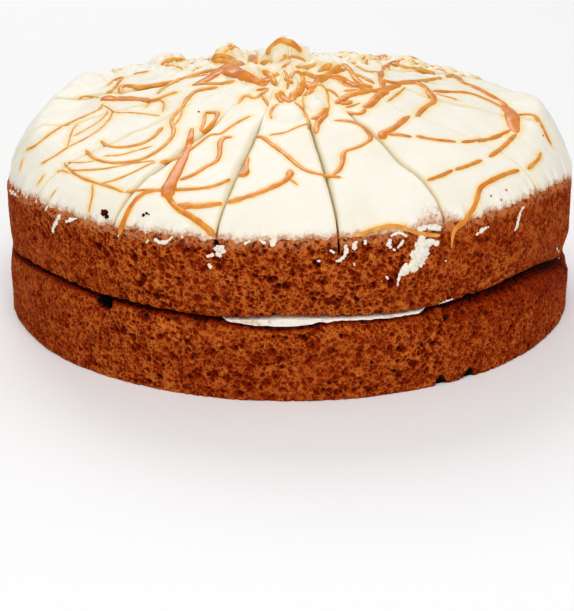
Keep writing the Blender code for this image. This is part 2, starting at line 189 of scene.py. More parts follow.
def cellNodes(tree, size, bend):
    # the distance from the nearest wall between two pores, and a depth that each pore has for itself
    coords = tree.nodes.new("ShaderNodeTexCoord")
    wander = tree.nodes.new("ShaderNodeTexNoise")
    wander.inputs["Scale"].default_value = 1 / (1.6 * size)
    tree.links.new(coords.outputs["Object"], wander.inputs["Vector"])
    bent = tree.nodes.new("ShaderNodeVectorMath")
    bent.operation = "MULTIPLY_ADD"
    bent.inputs[1].default_value = (bend, bend, bend)
    tree.links.new(wander.outputs["Color"], bent.inputs[0])
    tree.links.new(coords.outputs["Object"], bent.inputs[2])
    made = []
    for feature, output in (("DISTANCE_TO_EDGE", "Distance"), ("F1", "Color")):
        texture = tree.nodes.new("ShaderNodeTexVoronoi")
        texture.feature = feature
        texture.inputs["Scale"].default_value = 1 / size
        tree.links.new(bent.outputs["Vector"], texture.inputs["Vector"])
        made.append(texture.outputs[output])
    return made


def rampNode(tree, source, stops):
    ramp = tree.nodes.new("ShaderNodeValToRGB")
    elements = ramp.color_ramp.elements
    while len(elements) < len(stops):
        elements.new(0.5)
    for element, (where, colour) in zip(elements, stops):
        element.position = where
        element.color = (*colour, 1)
    tree.links.new(source, ramp.inputs["Fac"])
    return ramp.outputs["Color"]


def attributeNode(tree, name):
    node = tree.nodes.new("ShaderNodeAttribute")
    node.attribute_name = name
    return node.outputs["Fac"]


def mathNode(tree, operation, first, second, third=None):
    node = tree.nodes.new("ShaderNodeMath")
    node.operation = operation
    for socket, value in zip(node.inputs, (first, second, third)):
        if value is None:
            continue
        if isinstance(value, (int, float)):
            socket.default_value = value
        else:
            tree.links.new(value, socket)
    return node.outputs[0]


def scaledNode(tree, source, factor, offset):
    return mathNode(tree, "MULTIPLY_ADD", source, factor, offset)


def heldNode(tree, source, most):
    # keeps a value between nothing and the most it may be
    return mathNode(tree, "MINIMUM", mathNode(tree, "MAXIMUM", source, 0.0), most)


def mixNode(tree, share, first, second):
    node = tree.nodes.new("ShaderNodeMix")
    node.data_type = "RGBA"
    for socket, value in ((node.inputs[0], share), (node.inputs[6], first), (node.inputs[7], second)):
        if isinstance(value, tuple):
            socket.default_value = (*value, 1)
        else:
            tree.links.new(value, socket)
    return node.outputs[2]


def bumpNode(tree, height, shader, distance, strength=1.0):
    bump = tree.nodes.new("ShaderNodeBump")
    bump.inputs["Distance"].default_value = distance
    bump.inputs["Strength"].default_value = strength
    tree.links.new(height, bump.inputs["Height"])
    tree.links.new(bump.outputs["Normal"], shader.inputs["Normal"])


def paint(tree, shader, colour, sockets):
    # gives the shader its colour and sets its other sockets
    tree.links.new(colour, shader.inputs["Base Color"])
    for name, value in sockets.items():
        shader.inputs[name].default_value = value


# pairs called share are a factor and an offset
spongeLook = {
    # the crumb's colours by how light it is painted; the near-black first stop is painted shadow in the
    # deep bites, and pits reach the dark stops through painted shade
    "colours": (
        (0.0, (0.010, 0.006, 0.004)),
        (0.08, (0.080, 0.0040, 0.0002)),
        (0.34, (0.175, 0.0105, 0.0005)),
        (0.62, (0.320, 0.0325, 0.0020)),
        (1.0, (0.680, 0.1850, 0.0260)),
    ),
    "toneSize": 16 * mm,
    "grainSize": 0.8 * mm,
    "cellSize": 1.6 * mm,
    "cellBend": 1.6 * mm,
    "wallSteepness": 3.4,
    "wallRounding": 0.2,
    "poreShare": (0.32, 0.36),
    "grainShare": (0.44, -0.13),
    "coarseShare": (0.18, -0.135),
    "toneShare": (0.30, -0.15),
    "frost": (0.560, 0.230, 0.110),
    "streakSize": 2.4 * mm,
    "streakShare": 2.6,
    "frostShare": (-0.9, -0.75),
    "mostFrost": 0.8,
    "grainRelief": 0.7,
    "relief": 0.7 * mm,
    "sockets": {"Roughness": 0.85, "Specular IOR Level": 0.03},
}


def makeSpongeLook():
    look, tree, shader = newLook("sponge crumb")
    coarse = attributeNode(tree, "coarse")
    grain = noiseNode(tree, spongeLook["grainSize"], detail=3)
    tone = noiseNode(tree, spongeLook["toneSize"])
    edge, depth = cellNodes(tree, spongeLook["cellSize"], spongeLook["cellBend"])
    # painted shade in the pores: each pore is darker towards its middle, by a depth of its own
    steep = mathNode(tree, "MULTIPLY", edge, spongeLook["wallSteepness"])
    hollow = mathNode(tree, "SMOOTH_MIN", steep, 1.0, spongeLook["wallRounding"])
    pore = mathNode(tree, "MULTIPLY", hollow, depth)
    strength = scaledNode(tree, coarse, *spongeLook["poreShare"])
    poreShade = mathNode(tree, "MULTIPLY", pore, strength)
    level = mathNode(tree, "SUBTRACT", attributeNode(tree, "crumb"), poreShade)
    for source, share in ((grain, "grainShare"), (coarse, "coarseShare"), (tone, "toneShare")):
        level = mathNode(tree, "ADD", level, scaledNode(tree, source, *spongeLook[share]))
    # cream rubbed thinly into the crust under the icing
    streaks = noiseNode(tree, spongeLook["streakSize"], detail=3)
    inPores = scaledNode(tree, pore, *spongeLook["frostShare"])
    streaked = scaledNode(tree, streaks, spongeLook["streakShare"], inPores)
    rubbed = heldNode(tree, streaked, spongeLook["mostFrost"])
    rubbed = mathNode(tree, "MULTIPLY", rubbed, attributeNode(tree, "frost"))
    colour = mixNode(tree, rubbed, rampNode(tree, level, spongeLook["colours"]), spongeLook["frost"])
    paint(tree, shader, colour, spongeLook["sockets"])
    sunk = mathNode(tree, "MULTIPLY", pore, -1.0)
    bumpNode(tree, scaledNode(tree, grain, spongeLook["grainRelief"], sunk), shader, spongeLook["relief"])
    return look


icingLook = {
    "body": ((0.35, (0.925, 0.865, 0.730)), (0.55, (0.945, 0.900, 0.785))),
    "bodySize": 22 * mm,
    "paintedLipShade": (0.890, 0.790, 0.560),
    "deep": (0.440, 0.310, 0.180),
    "glaze": (0.960, 0.700, 0.250),
    "glazeSize": 4 * mm,
    "glazeShare": (1.5, -0.10),
    "speckleSize": 1.3 * mm,
    # brown crumb rubbed into the foot, the blush above it first: the colour, factors for the speckle
    # and for the mark, an offset, and the most that it covers
    "rubbed": (
        ((0.800, 0.560, 0.380), 1.2, 1.3, -1.05, 0.8),
        ((0.470, 0.190, 0.080), 2.4, 2.0, -2.45, 0.9),
    ),
    "fineSize": 2.2 * mm,
    "relief": (0.25 * mm, 0.5),
    "sockets": {
        "Roughness": 0.55,
        "Specular IOR Level": 0.22,
        "Subsurface Weight": 0.06,
        "Subsurface Radius": (1.0, 0.75, 0.45),
        "Subsurface Scale": 2 * mm,
    },
}


def makeIcingLook():
    look, tree, shader = newLook("cream icing")
    colour = rampNode(tree, noiseNode(tree, icingLook["bodySize"]), icingLook["body"])
    # painted shade in the cuts: a pale yellow shade on their lips, and a darker painted shadow down their
    # walls
    paintedLipShade = mathNode(tree, "MULTIPLY", attributeNode(tree, "cut"), 2.0)
    colour = mixNode(tree, heldNode(tree, paintedLipShade, 1.0), colour, icingLook["paintedLipShade"])
    deep = heldNode(tree, mathNode(tree, "SUBTRACT", paintedLipShade, 1.0), 1.0)
    colour = mixNode(tree, deep, colour, icingLook["deep"])
    # thin caramel beside the drizzle
    runny = scaledNode(tree, noiseNode(tree, icingLook["glazeSize"]), *icingLook["glazeShare"])
    glaze = mathNode(tree, "MULTIPLY", attributeNode(tree, "glaze"), runny)
    colour = mixNode(tree, heldNode(tree, glaze, 1.0), colour, icingLook["glaze"])
    speckle = noiseNode(tree, icingLook["speckleSize"], detail=3)
    stain = attributeNode(tree, "stain")
    for brown, speckled, stained, offset, most in icingLook["rubbed"]:
        rubbed = scaledNode(tree, speckle, speckled, scaledNode(tree, stain, stained, offset))
        colour = mixNode(tree, heldNode(tree, rubbed, most), colour, brown)
    paint(tree, shader, colour, icingLook["sockets"])
    bumpNode(tree, noiseNode(tree, icingLook["fineSize"], detail=3), shader, *icingLook["relief"])
    return look


fillingLook = {
    "body": ((0.30, (0.72, 0.52, 0.34)), (0.46, (0.94, 0.88, 0.79))),
    "bodySize": 3.5 * mm,
    "fineSize": 1.4 * mm,
    "relief": (0.3 * mm, 0.6),
    "sockets": {"Roughness": 0.5, "Specular IOR Level": 0.3},
}


def makeFillingLook():
    look, tree, shader = newLook("cream filling")
    body = rampNode(tree, noiseNode(tree, fillingLook["bodySize"], detail=3), fillingLook["body"])
    paint(tree, shader, body, fillingLook["sockets"])
    bumpNode(tree, noiseNode(tree, fillingLook["fineSize"], detail=3), shader, *fillingLook["relief"])
    return look


caramelLook = {
    "thick": ((0.38, (0.68, 0.195, 0.026)), (0.62, (0.83, 0.270, 0.022))),
    "mid": ((0.38, (0.70, 0.210, 0.014)), (0.62, (0.84, 0.310, 0.026))),
    "thin": ((0.38, (0.72, 0.260, 0.022)), (0.62, (0.86, 0.400, 0.060))),
    "flowSize": 5 * mm,
    "wrinkleSize": 2.5 * mm,
    "relief": (0.25 * mm, 0.5),
    "sockets": {
        "Roughness": 0.32,
        "Specular IOR Level": 0.28,
        "Coat Weight": 0.12,
        "Coat Roughness": 0.15,
        "Subsurface Weight": 0.10,
        "Subsurface Radius": (1.0, 0.5, 0.15),
        "Subsurface Scale": 1.2 * mm,
    },
}


def makeCaramelLook(kind):
    look, tree, shader = newLook("caramel " + kind)
    colour = rampNode(tree, noiseNode(tree, caramelLook["flowSize"]), caramelLook[kind])
    paint(tree, shader, colour, caramelLook["sockets"])
    bumpNode(tree, noiseNode(tree, caramelLook["wrinkleSize"]), shader, *caramelLook["relief"])
    return look


crumbMaterial = makeSpongeLook()
icingMaterial = makeIcingLook()
fillingMaterial = makeFillingLook()
caramelMaterials = [makeCaramelLook(kind) for kind in ("thick", "mid", "thin")]
print("materials ready")


seam = {
    "height": 35.2 * mm,
    "sag": 1.8 * mm,
    "sagFades": (20, 50),
    "wave": 0.9 * mm,
    "waveSize": 30 * mm,
    "gap": 0.3 * mm,
    "rimHalf": 0.35 * mm,
    "fillingHalf": 1.5 * mm,
    "fillingInner": 104 * mm,
    "fillingRadius": 113 * mm,
    "fillingReach": 12.8 * mm,
    "fillingShows": (-17, 31),
    "fillingEdge": 7,
    "fillingRagged": (4 * mm, 1.6 * mm, 0.5, 5),
    "fillingRaggedness": 1.3 * mm,
    "fillingRings": (0.6 * mm, 0.8 * mm, 8 * mm, 30 * mm),
    # how much thinner the filling's outer edge is, and over what width
    "fillingRound": 0.35,
    "fillingRim": 0.7 * mm,
    "underRagged": 0.9,
    "underSize": 5 * mm,
    "swell": 0.35 * mm,
    "swellComes": (120 * mm, 124 * mm),
    "stripHalf": 0.6 * mm,
    "lensShows": (-13, 10),
    "lensEdge": 11,
    "lensHalf": 2.4 * mm,
    "lensSag": 0.6 * mm,
}
# the top leans, higher at the right, and the layers sag at both sides, less so at the back
sag = {
    "tilt": 3 * mm,
    "comes": (52, 87),
    "fades": (105, 160),
    "lost": 0.6,
    "inner": 110 * mm,
    "rim": 8.2 * mm,
    "rimRight": 1.3 * mm,
    "seam": 10.5 * mm,
    "seamRight": 1.9 * mm,
}
sponge = {
    "lowerRadius": 127.7 * mm,
    "upperRadius": 127.3 * mm,
    "top": 67.9 * mm,
    "domeRise": 12 * mm,
    "crownRadius": 124 * mm,
    "rimRound": 4.4 * mm,
    "rimFuzz": 0.7 * mm,
    "crust": 5 * mm,
    "fuzzSize": 1.7 * mm,
    "unevenness": 0.7 * mm,
    "unevenSizes": (35 * mm, 11 * mm),
    # how far in from the side the top and the underside are uneven with it
    "sideShare": (7 * mm, 3 * mm),
    "lowerTuck": (1.1 * mm, 2.9 * mm),
    "undercut": 3.8 * mm,
    "undercutShows": (16, 122),
    "undercutEdge": 34,
    "undercutReach": (4.5 * mm, 1 * mm),
    "upperTuck": (0.9 * mm, 1.5 * mm),
    # how far from the seam each layer's tuck reaches
    "lowerTuckReach": 10 * mm,
    "upperTuckReach": 12 * mm,
    "seamRound": 2.2 * mm,
    # where the layers meet with less of a groove
    "tightSeam": (-135, -32),
    "tightEdge": 12,
    "tighter": 0.5,
    "seamRagged": 1.5 * mm,
    "torn": (3.2 * mm, 9 * mm, 0.4, 44),
    "tornReach": 5 * mm,
    "footRound": 0.9 * mm,
    # rings of faces that each layer's flat ends get, from the edge inwards
    "lowerRings": (2.2 * mm, 12 * mm),
    "upperRings": (2.2 * mm, 2.2 * mm, 4 * mm, 10 * mm, 22 * mm, 34 * mm, 30 * mm),
    "footRings": (2.2 * mm, 9 * mm),
    "columns": 1300,
    "rows": 57,
    "largePore": 3.6 * mm,
    "coarsePore": 2.2 * mm,
    "poreWall": (0.02, 0.45),
    "largeDepth": 1.5 * mm,
    "coarseDepth": 1.0 * mm,
    "grainSize": 1.1 * mm,
    "grainDepth": 0.15 * mm,
    "patchSize": 24 * mm,
    # the middle of the part with the coarsest crumb, and how far round it fades
    "coarsest": -2,
    "coarseFades": (20, 62),
    "creaseDepth": 1.1 * mm,
    "creases": (36, 84),
    "creaseEdge": 14,
    "creaseLength": 13 * mm,
    # painted shade that darkens the crumb in creases, in bites, in the groove between the layers and below
    # it, and painted light that makes the crust paler, which is uneven
    "creaseShade": 0.3,
    "biteShade": 1.6,
    "biteDepth": 2.5 * mm,
    "shelfShade": 0.5,
    "grooveShade": 0.35,
    "groove": (1.6 * mm, 0.3 * mm),
    "undercutShade": 0.16,
    "undercutFades": (12 * mm, 3 * mm),
    # painted light on the crust under the icing, and how uneven it is
    "crustPaintedLight": (0.16, 0.22),
    # how far down from the top cream is rubbed in
    "frostWander": 2 * mm,
    "frostFull": 1.2 * mm,
    # bites out of the side: angle, height, half width, half height and depth, in degrees and mm
    "upperBites": ((-13, 64.8, 1.3, 1.8, 1.7), (8.6, 64.5, 0.6, 3.4, 2.4), (-36.4, 32.0, 4.2, 3.0, 9)),
    "lowerBites": ((-36.4, 32.0, 4.2, 3.0, 9), (35.5, 1.2, 2.4, 3.0, 3.2), (29, 0.6, 2.8, 2.4, 2.8)),
}


def fillingShare(angle):
    return between(angle, seam["fillingShows"], seam["fillingEdge"])


def lensShare(angle):
    return between(angle, seam["lensShows"], seam["lensEdge"])


def sideShare(angle):
    away = abs(angle)
    return smooth(away, *sag["comes"]) * (1 - sag["lost"] * smooth(away, *sag["fades"]))


def shiftAt(radius, angle):
    # how much higher or lower the top lies here than on a level and even cake
    right = sin(radians(angle))
    sunk = (sag["rim"] + sag["rimRight"] * right) * sideShare(angle)
    lean = sag["tilt"] * right * radius / sponge["upperRadius"]
    return lean - sunk * smooth(radius, sag["inner"], sponge["upperRadius"])


def seamAt(radius, angle):
    front = seam["sag"] * (1 - smooth(abs(angle), *seam["sagFades"])) + seam["lensSag"] * lensShare(angle)
    side = (sag["seam"] + sag["seamRight"] * sin(radians(angle))) * sideShare(angle)
    wave = seam["wave"] * roughnessAt(sponge["upperRadius"], angle, 0, seam["waveSize"], 9)
    return seam["height"] + (wave - front - side) * smooth(radius, 0, seam["fillingInner"])


def seamHalf(radius, angle):
    strip = seam["stripHalf"] + (seam["lensHalf"] - seam["stripHalf"]) * lensShare(angle)
    rim = seam["rimHalf"] + (strip - seam["rimHalf"]) * fillingShare(angle)
    outward = smooth(radius, seam["fillingInner"], seam["fillingRadius"])
    return seam["fillingHalf"] + (rim - seam["fillingHalf"]) * outward


def crownAt(radius):
    return sponge["top"] + sponge["domeRise"] * (1 - min(1, radius / sponge["crownRadius"]) ** 2)


def rimTop(radius, angle):
    # the height of the upper sponge's rounded rim
    inside = sponge["upperRadius"] - radius
    rounding = sponge["rimRound"]
    drop = 0
    if inside < rounding:
        drop = rounding - sqrt(max(0, rounding**2 - (rounding - max(0, inside)) ** 2))
    return sponge["top"] + shiftAt(radius, angle) - drop


def sideShift(radius, angle, height):
    rim = smooth(radius, sponge["crownRadius"], sponge["crownRadius"] + sponge["rimRound"])
    broad, fine = sponge["unevenSizes"]
    small = roughnessAt(radius, angle, height, fine, 8)
    uneven = roughnessAt(radius, angle, height, broad, 3) + 0.6 * small
    return sponge["unevenness"] * rim * uneven


def poreAt(spot, size, seed, power):
    # 0 on the webs of the crumb, up to 1 in its deepest pores
    near, cells = noise.voronoi(spot / size + Vector((seed, seed, seed)))
    depth = 0.5 + 0.5 * noise.cell(cells[0] * 9.7)
    return smooth(near[1] - near[0], *sponge["poreWall"]) * depth**power


def crumbAt(spot, coarse):
    # how deep the crumb is pitted here, in metres, and how light it is painted, with painted shade
    # darkening the pits
    large = coarse * poreAt(spot, sponge["largePore"], 3, 3)
    small = poreAt(spot, sponge["coarsePore"], 8, 0.8)
    grain = noise.noise(spot / sponge["grainSize"])
    pit = sponge["largeDepth"] * large + sponge["coarseDepth"] * (0.35 + 0.65 * coarse) * small
    light = 0.80 - 0.6 * large - (0.20 + 0.35 * coarse) * small + 0.12 * grain
    return pit + sponge["grainDepth"] * (1 - grain), light


def coarseAt(angle, height, upper):
    # the crumb is coarsest at the front of the upper layer
    patches = 0.5 + 0.9 * roughnessAt(sponge["upperRadius"], angle, height, sponge["patchSize"], 21)
    front = 1 - smooth(abs(angle - sponge["coarsest"]), *sponge["coarseFades"])
    amount = 0.35 + 0.65 * (front if upper else 0.7 * front)
    return min(1, max(0.15, amount * (0.65 + 0.7 * patches)))


def biteAt(radius, angle, height, bites):
    depth = 0
    for where, middle, halfWidth, halfHeight, reach in bites:
        across = radius * radians(angle - where) / (halfWidth * mm)
        along = (height - middle * mm) / (halfHeight * mm)
        inside = 1 - across * across - along * along
        if inside > 0:
            depth = max(depth, reach * mm * sqrt(inside))
    return depth


def pickFaces(piece, wanted):
    # into edit mode with only the wanted faces selected
    makeActive(piece)
    bpy.ops.object.mode_set(mode="EDIT")
    bpy.ops.mesh.select_mode(type="FACE")
    bpy.ops.mesh.select_all(action="DESELECT")
    bpy.ops.object.mode_set(mode="OBJECT")
    for face in piece.data.polygons:
        face.select = wanted(face)
    bpy.ops.object.mode_set(mode="EDIT")


def insetRings(piece, rings, wanted):
    pickFaces(piece, wanted)
    for inset in rings:
        bpy.ops.mesh.inset(thickness=inset, use_individual=True)
    bpy.ops.object.mode_set(mode="OBJECT")


def makeLayer(name, radius, low, high, capRings):
    deselectAll()
    bpy.ops.mesh.primitive_cylinder_add(
        vertices=sponge["columns"], radius=radius, depth=high - low, location=(0, 0, (low + high) / 2)
    )
    layer = bpy.context.object
    layer.name = name
    settle(layer)
    bpy.ops.object.mode_set(mode="EDIT")
    bpy.ops.mesh.select_mode(type="EDGE")
    bpy.ops.mesh.select_all(action="DESELECT")
    bpy.ops.object.mode_set(mode="OBJECT")
    for edge in layer.data.edges:
        start, end = (layer.data.vertices[index].co for index in edge.vertices)
        edge.select = abs(start.z - end.z) > 1 * mm
    bpy.ops.object.mode_set(mode="EDIT")
    bpy.ops.mesh.subdivide(number_cuts=sponge["rows"])
    bpy.ops.object.mode_set(mode="OBJECT")
    insetRings(layer, capRings, lambda face: len(face.vertices) > 4 and face.normal.z > 0.5)
    insetRings(layer, sponge["footRings"], lambda face: len(face.vertices) > 4 and face.normal.z < -0.5)
    return layer


def roundedRim(reach, height, radius, low, high, topRound, footRound):
    # bends the outer edge of a cylinder into two round rims; the side gets two thirds of each turn
    inside = radius - reach
    for edge, way, rounding in ((high, 1, topRound), (low, -1, footRound)):
        below = (edge - height) * way
        if inside < tiny and below < rounding:
            turn = radians(60) * (1 - below / rounding)
        elif below < tiny and inside < rounding:
            turn = radians(60 + 30 * inside / rounding)
        else:
            continue
        return radius - rounding * (1 - cos(turn)), edge - way * rounding * (1 - sin(turn)), True
    return reach, height, inside < tiny


def creaseAt(angle, height, upper):
    # shallow upright folds, deepest at the right of the lower layer, and how strongly they show
    shown = 0.25 if upper else 0.35 + 0.65 * between(angle, sponge["creases"], sponge["creaseEdge"])
    streak = noise.noise(Vector((angle * 0.9, height / sponge["creaseLength"], 4 if upper else 6)))
    return shown * max(0, streak)


def shapeLayer(layer, upper):
    # gives a cylinder its rims, sag, crumb and bites, and returns its skin without the crumb
    radius = sponge["upperRadius"] if upper else sponge["lowerRadius"]
    low, high = (seam["height"], sponge["top"]) if upper else (0, seam["height"])
    tuck, tuckRight = sponge["upperTuck"] if upper else sponge["lowerTuck"]
    bites = sponge["upperBites"] if upper else sponge["lowerBites"]
    lights, coarses, frosts, skin = [], [], [], []
    for vertex in layer.data.vertices:
        x, y, z = vertex.co
        angle = frontAngle(x, y)
        tight = sponge["tighter"] * between(angle, sponge["tightSeam"], sponge["tightEdge"])
        seamRound = sponge["seamRound"] * (1 - tight)
        rounds = (sponge["rimRound"], seamRound) if upper else (seamRound, sponge["footRound"])
        reach, height, shows = roundedRim(hypot(x, y), z, radius, low, high, *rounds)
        share = (height - low) / (high - low)
        if upper:
            base = seamAt(reach, angle) + seamHalf(reach, angle) + seam["gap"]
            onCrown = z > high - tiny and reach < sponge["crownRadius"]
            top = (crownAt(reach) if onCrown else sponge["top"]) + shiftAt(reach, angle)
            atSeam = 1 - smooth(height, low, low + sponge["upperTuckReach"])
        else:
            base = 0
            top = seamAt(reach, angle) - seamHalf(reach, angle) - seam["gap"]
            atSeam = smooth(height, high - sponge["lowerTuckReach"], high)
        height = base + (top - base) * share
        coarse = coarseAt(angle, height, upper)
        farIn, nearIn = sponge["sideShare"]
        rim = smooth(reach, radius - farIn, radius - nearIn)
        reach += sideShift(sponge["upperRadius"], angle, height) * rim
        reach -= rim * atSeam * (tuck + tuckRight * max(0, sin(radians(angle))))
        if upper:
            torn = max(0, raggedAt(radius, angle, sponge["torn"]))
            fading = 1 - smooth(height, base, base + sponge["tornReach"])
            height += sponge["seamRagged"] * torn * rim * fading
        else:
            undercut = between(angle, sponge["undercutShows"], sponge["undercutEdge"])
            foot, edge = sponge["undercutReach"]
            shelf = undercut * smooth(height, top - foot, top - edge)
            reach -= rim * shelf * sponge["undercut"]
        spot = place(reach, angle, height)
        pit, light = crumbAt(spot, coarse)
        crease = creaseAt(angle, height, upper)
        pit += sponge["creaseDepth"] * crease
        # painted shade in the creases
        light -= sponge["creaseShade"] * crease
        frost, fuzzy = 0, 0
        if upper:
            # painted light makes the crust just under the icing paler, unevenly, and the crust is rougher
            # there
            crust = smooth(height, top - sponge["crust"], top - 0.3 * sponge["crust"])
            fuzz = noise.noise(spot / sponge["fuzzSize"] + Vector((5, 1, 7)))
            paintedLight, uneven = sponge["crustPaintedLight"]
            light += crust * (paintedLight + uneven * fuzz)
            fuzzy = sponge["rimFuzz"] * crust
            pit -= fuzzy * (0.6 + fuzz)
            lowest = top - sponge["crust"] - sponge["frostWander"] * fuzz
            frost = smooth(height, lowest, top - sponge["frostFull"])
        else:
            # the shadow in the groove and below it
            foot, edge = sponge["groove"]
            groove = smooth(height, top - foot, top - edge)
            light -= sponge["shelfShade"] * shelf + sponge["grooveShade"] * groove
            foot, edge = sponge["undercutFades"]
            light -= sponge["undercutShade"] * undercut * smooth(height, foot, top - edge)
        bite = biteAt(radius, angle, height, bites)
        # painted shadow in the bites, down to black in the deepest
        light -= sponge["biteShade"] * smooth(bite, 0, sponge["biteDepth"])
        frosts.append(frost * (1 - smooth(bite, 0, 1 * mm)))
        skin.append(place(reach + fuzzy, angle, height))
        if shows:
            reach -= pit + bite
        elif share > 0.9:
            height -= pit * 0.5 * rim
        vertex.co = place(reach, angle, height)
        lights.append(min(1, max(-0.6, light)))
        coarses.append(coarse)
    setValues(layer, "crumb", lights)
    setValues(layer, "coarse", coarses)
    setValues(layer, "frost", frosts)
    shadeRound(layer, 80)
    return skin, facesOf(layer)


lowerSponge = makeLayer("lowerSponge", sponge["lowerRadius"], 0, seam["height"], sponge["lowerRings"])
lowerSkin = shapeLayer(lowerSponge, False)
dress(lowerSponge, crumbMaterial, "sponge", "lower_sponge")
upperSponge = makeLayer(
    "upperSponge", sponge["upperRadius"], seam["height"], sponge["top"], sponge["upperRings"]
)
upperSkin = shapeLayer(upperSponge, True)
dress(upperSponge, crumbMaterial, "sponge", "upper_sponge")
print("sponges ready")


def makeFilling():
    deselectAll()
    radius = seam["fillingRadius"]
    bpy.ops.mesh.primitive_cylinder_add(vertices=540, radius=radius, depth=2 * seam["fillingHalf"])
    filling = bpy.context.object
    filling.name = "creamFilling"
    settle(filling)
    insetRings(filling, seam["fillingRings"], lambda face: len(face.vertices) > 4)
    for vertex in filling.data.vertices:
        x, y, z = vertex.co
        reach, angle = hypot(x, y), frontAngle(x, y)
        shows = fillingShare(angle)
        spread = smooth(reach, radius - 2 * mm, radius) * shows
        ragged = seam["fillingRaggedness"] * raggedAt(radius, angle, seam["fillingRagged"])
        newReach = reach + (seam["fillingReach"] + ragged) * spread
        rounding = 1 - seam["fillingRound"] * smooth(reach, radius - seam["fillingRim"], radius)
        body = (seamHalf(newReach, angle) - seam["gap"]) * rounding
        middle = seamAt(newReach, angle)
        if z > 0:
            height = middle + body + seam["swell"] * smooth(newReach, *seam["swellComes"]) * shows
        else:
            under = abs(roughnessAt(radius, angle, 0, seam["underSize"], 2))
            height = middle - body * (1 - seam["underRagged"] * under * spread)
        vertex.co = place(newReach, angle, height)
    shadeRound(filling)
    return filling


creamFilling = makeFilling()
dress(creamFilling, fillingMaterial, "filling", "filling")
print("filling ready")


icing = {
    "radius": 125.4 * mm,
    "peak": 40 * mm,
    "shoulder": 98 * mm,
    "edge": 12.6 * mm,
    "edgeBack": 3.2 * mm,
    "edgeRight": 1.0 * mm,
    "conePower": 1.1,
    "power": 2.2,
    "unevenness": 0.9 * mm,
    # the icing is fuller where the rim under it sags, and at the back its top leans the other way
    "fillLeft": 4.3 * mm,
    "fillRight": 3.2 * mm,
    "fillPower": 1.8,
    "fillRadii": (94 * mm, 116 * mm),
    "fadesLeft": (112, 158),
    "fadesRight": (88, 108),
    "lean": 4.2 * mm,
    "leanComes": (95, 135),
    "wave": 1.2 * mm,
    "waveSize": 24 * mm,
    "tipRadius": 38 * mm,
    "tipRoughness": 2.6 * mm,
    "tipSize": 7 * mm,
    "cuts": (-57, -33.5, -13, 8.6, 28.8, 54, 77, 99.5),
    "kerf": 0.8 * mm,
    "kerfClosed": 0.12,
    "cutsOpen": (45 * mm, 63 * mm),
    # the rounded edges of the cuts, some of which widen half way out and narrow again
    "lip": 1.9 * mm,
    "narrowLip": 0.8,
    "wideLips": {-13: 2.9 * mm, 8.6: 2.6 * mm, 28.8: 4.2 * mm},
    "lipsWiden": (30 * mm, 60 * mm),
    "lipsNarrow": (100 * mm, 120 * mm),
    "lipWander": 0.4,
    "lipWanderSize": 14 * mm,
    # the drizzle bridges the cuts at this share of the edges' depth
    "bridged": 0.5,
    "columns": 56,
    "columnPower": 1.35,
    "rows": 124,
    # the share of the rows that lies evenly as far out as this, before they close up towards the rim
    "rowShare": 0.68,
    "rowShoulder": 112 * mm,
    "tipShare": 2.6,
    "footFrom": 121 * mm,
    "footWander": 1.3 * mm,
    "footRagged": (6 * mm, 2.3 * mm, 0.7, 31),
    "footSunk": 0.5 * mm,
    # how far in from the foot the icing is even
    "rimEven": (0.2 * mm, 6 * mm),
    # the underside lies this far in from the foot
    "floorInset": 1.2 * mm,
    # how strongly painted shade shows on the lips of the cuts
    "lipShade": 0.36,
    "stainFrom": 100 * mm,
    "stain": 5.0 * mm,
    # where brown crumb is rubbed further up the icing
    "rubbed": (22, 32),
    "rubbedEdge": 4,
    "rubbedHigher": 1.3,
    # peaks that stand proud: radius and angle of the centre, half width, half depth, height, in mm
    "peaks": (
        (9.2, -168, 11.8, 6.5, 12.5),
        (48, -142, 9.0, 7.0, 10.0),
        (24, -155, 6.0, 8.0, 5.5),
        (17, 88, 5.0, 7.0, 5.0),
        (18, -67, 5.0, 7.0, 5.0),
        (92, -140, 11.0, 8.0, 6.0),
        (106, -115, 11.0, 9.0, 2.5),
        (74, 155, 11.0, 8.0, 3.5),
        (90, 140, 10.0, 9.0, 3.5),
        (46, 0, 7.5, 9.0, 2.6),
        (41, 15, 5.0, 9.0, 2.6),
        (30, -14, 6.0, 6.0, 2.4),
        (29, 24, 4.5, 5.0, 2.2),
        (22, 4, 5.0, 4.5, 2.6),
    ),
    "peakSink": 0.25,
    "peakTorn": 3.4 * mm,
}
# the icing's fine relief: heights and sizes of what is everywhere, and where the cream is rougher
relief = {
    "marks": (0.25 * mm, 3.2 * mm),
    "markTurn": 22,
    "dents": (0.7 * mm, 13 * mm),
    "rough": (0.9 * mm, 6 * mm, 2.6 * mm),
    "flakes": (3.4 * mm, 5 * mm),
    "flakeSink": 0.25,
    "back": (95, 150),
    "middle": (25 * mm, 48 * mm),
    "sides": (42, 75),
    "shoulder": (78 * mm, 108 * mm),
}


def edgeHeight(angle):
    turn = radians(angle)
    return icing["edge"] - icing["edgeBack"] * cos(turn) + icing["edgeRight"] * sin(turn)


def coneHeight(radius, angle):
    edge = edgeHeight(angle)
    return edge + (icing["peak"] - edge) * max(0, 1 - radius / icing["radius"]) ** icing["conePower"]


def roundedOff(height, radius, power):
    # brings a height on the cone down to nothing at the icing's foot
    share = max(0, min(1, (radius - icing["shoulder"]) / (icing["radius"] - icing["shoulder"])))
    return height * sqrt(1 - share**power)


def icingHeight(radius, angle):
    right = sin(radians(angle))
    fades, fill = (icing["fadesRight"], icing["fillRight"])
    if angle < 0:
        fades, fill = (icing["fadesLeft"], icing["fillLeft"])
    share = smooth(abs(angle), *sag["comes"]) * (1 - smooth(abs(angle), *fades))
    lean = icing["lean"] * right * smooth(abs(angle), *icing["leanComes"]) * radius / icing["radius"]
    height = coneHeight(radius, angle) + fill * share * smooth(radius, *icing["fillRadii"]) - lean
    return roundedOff(height, radius, icing["power"] + icing["fillPower"] * share)


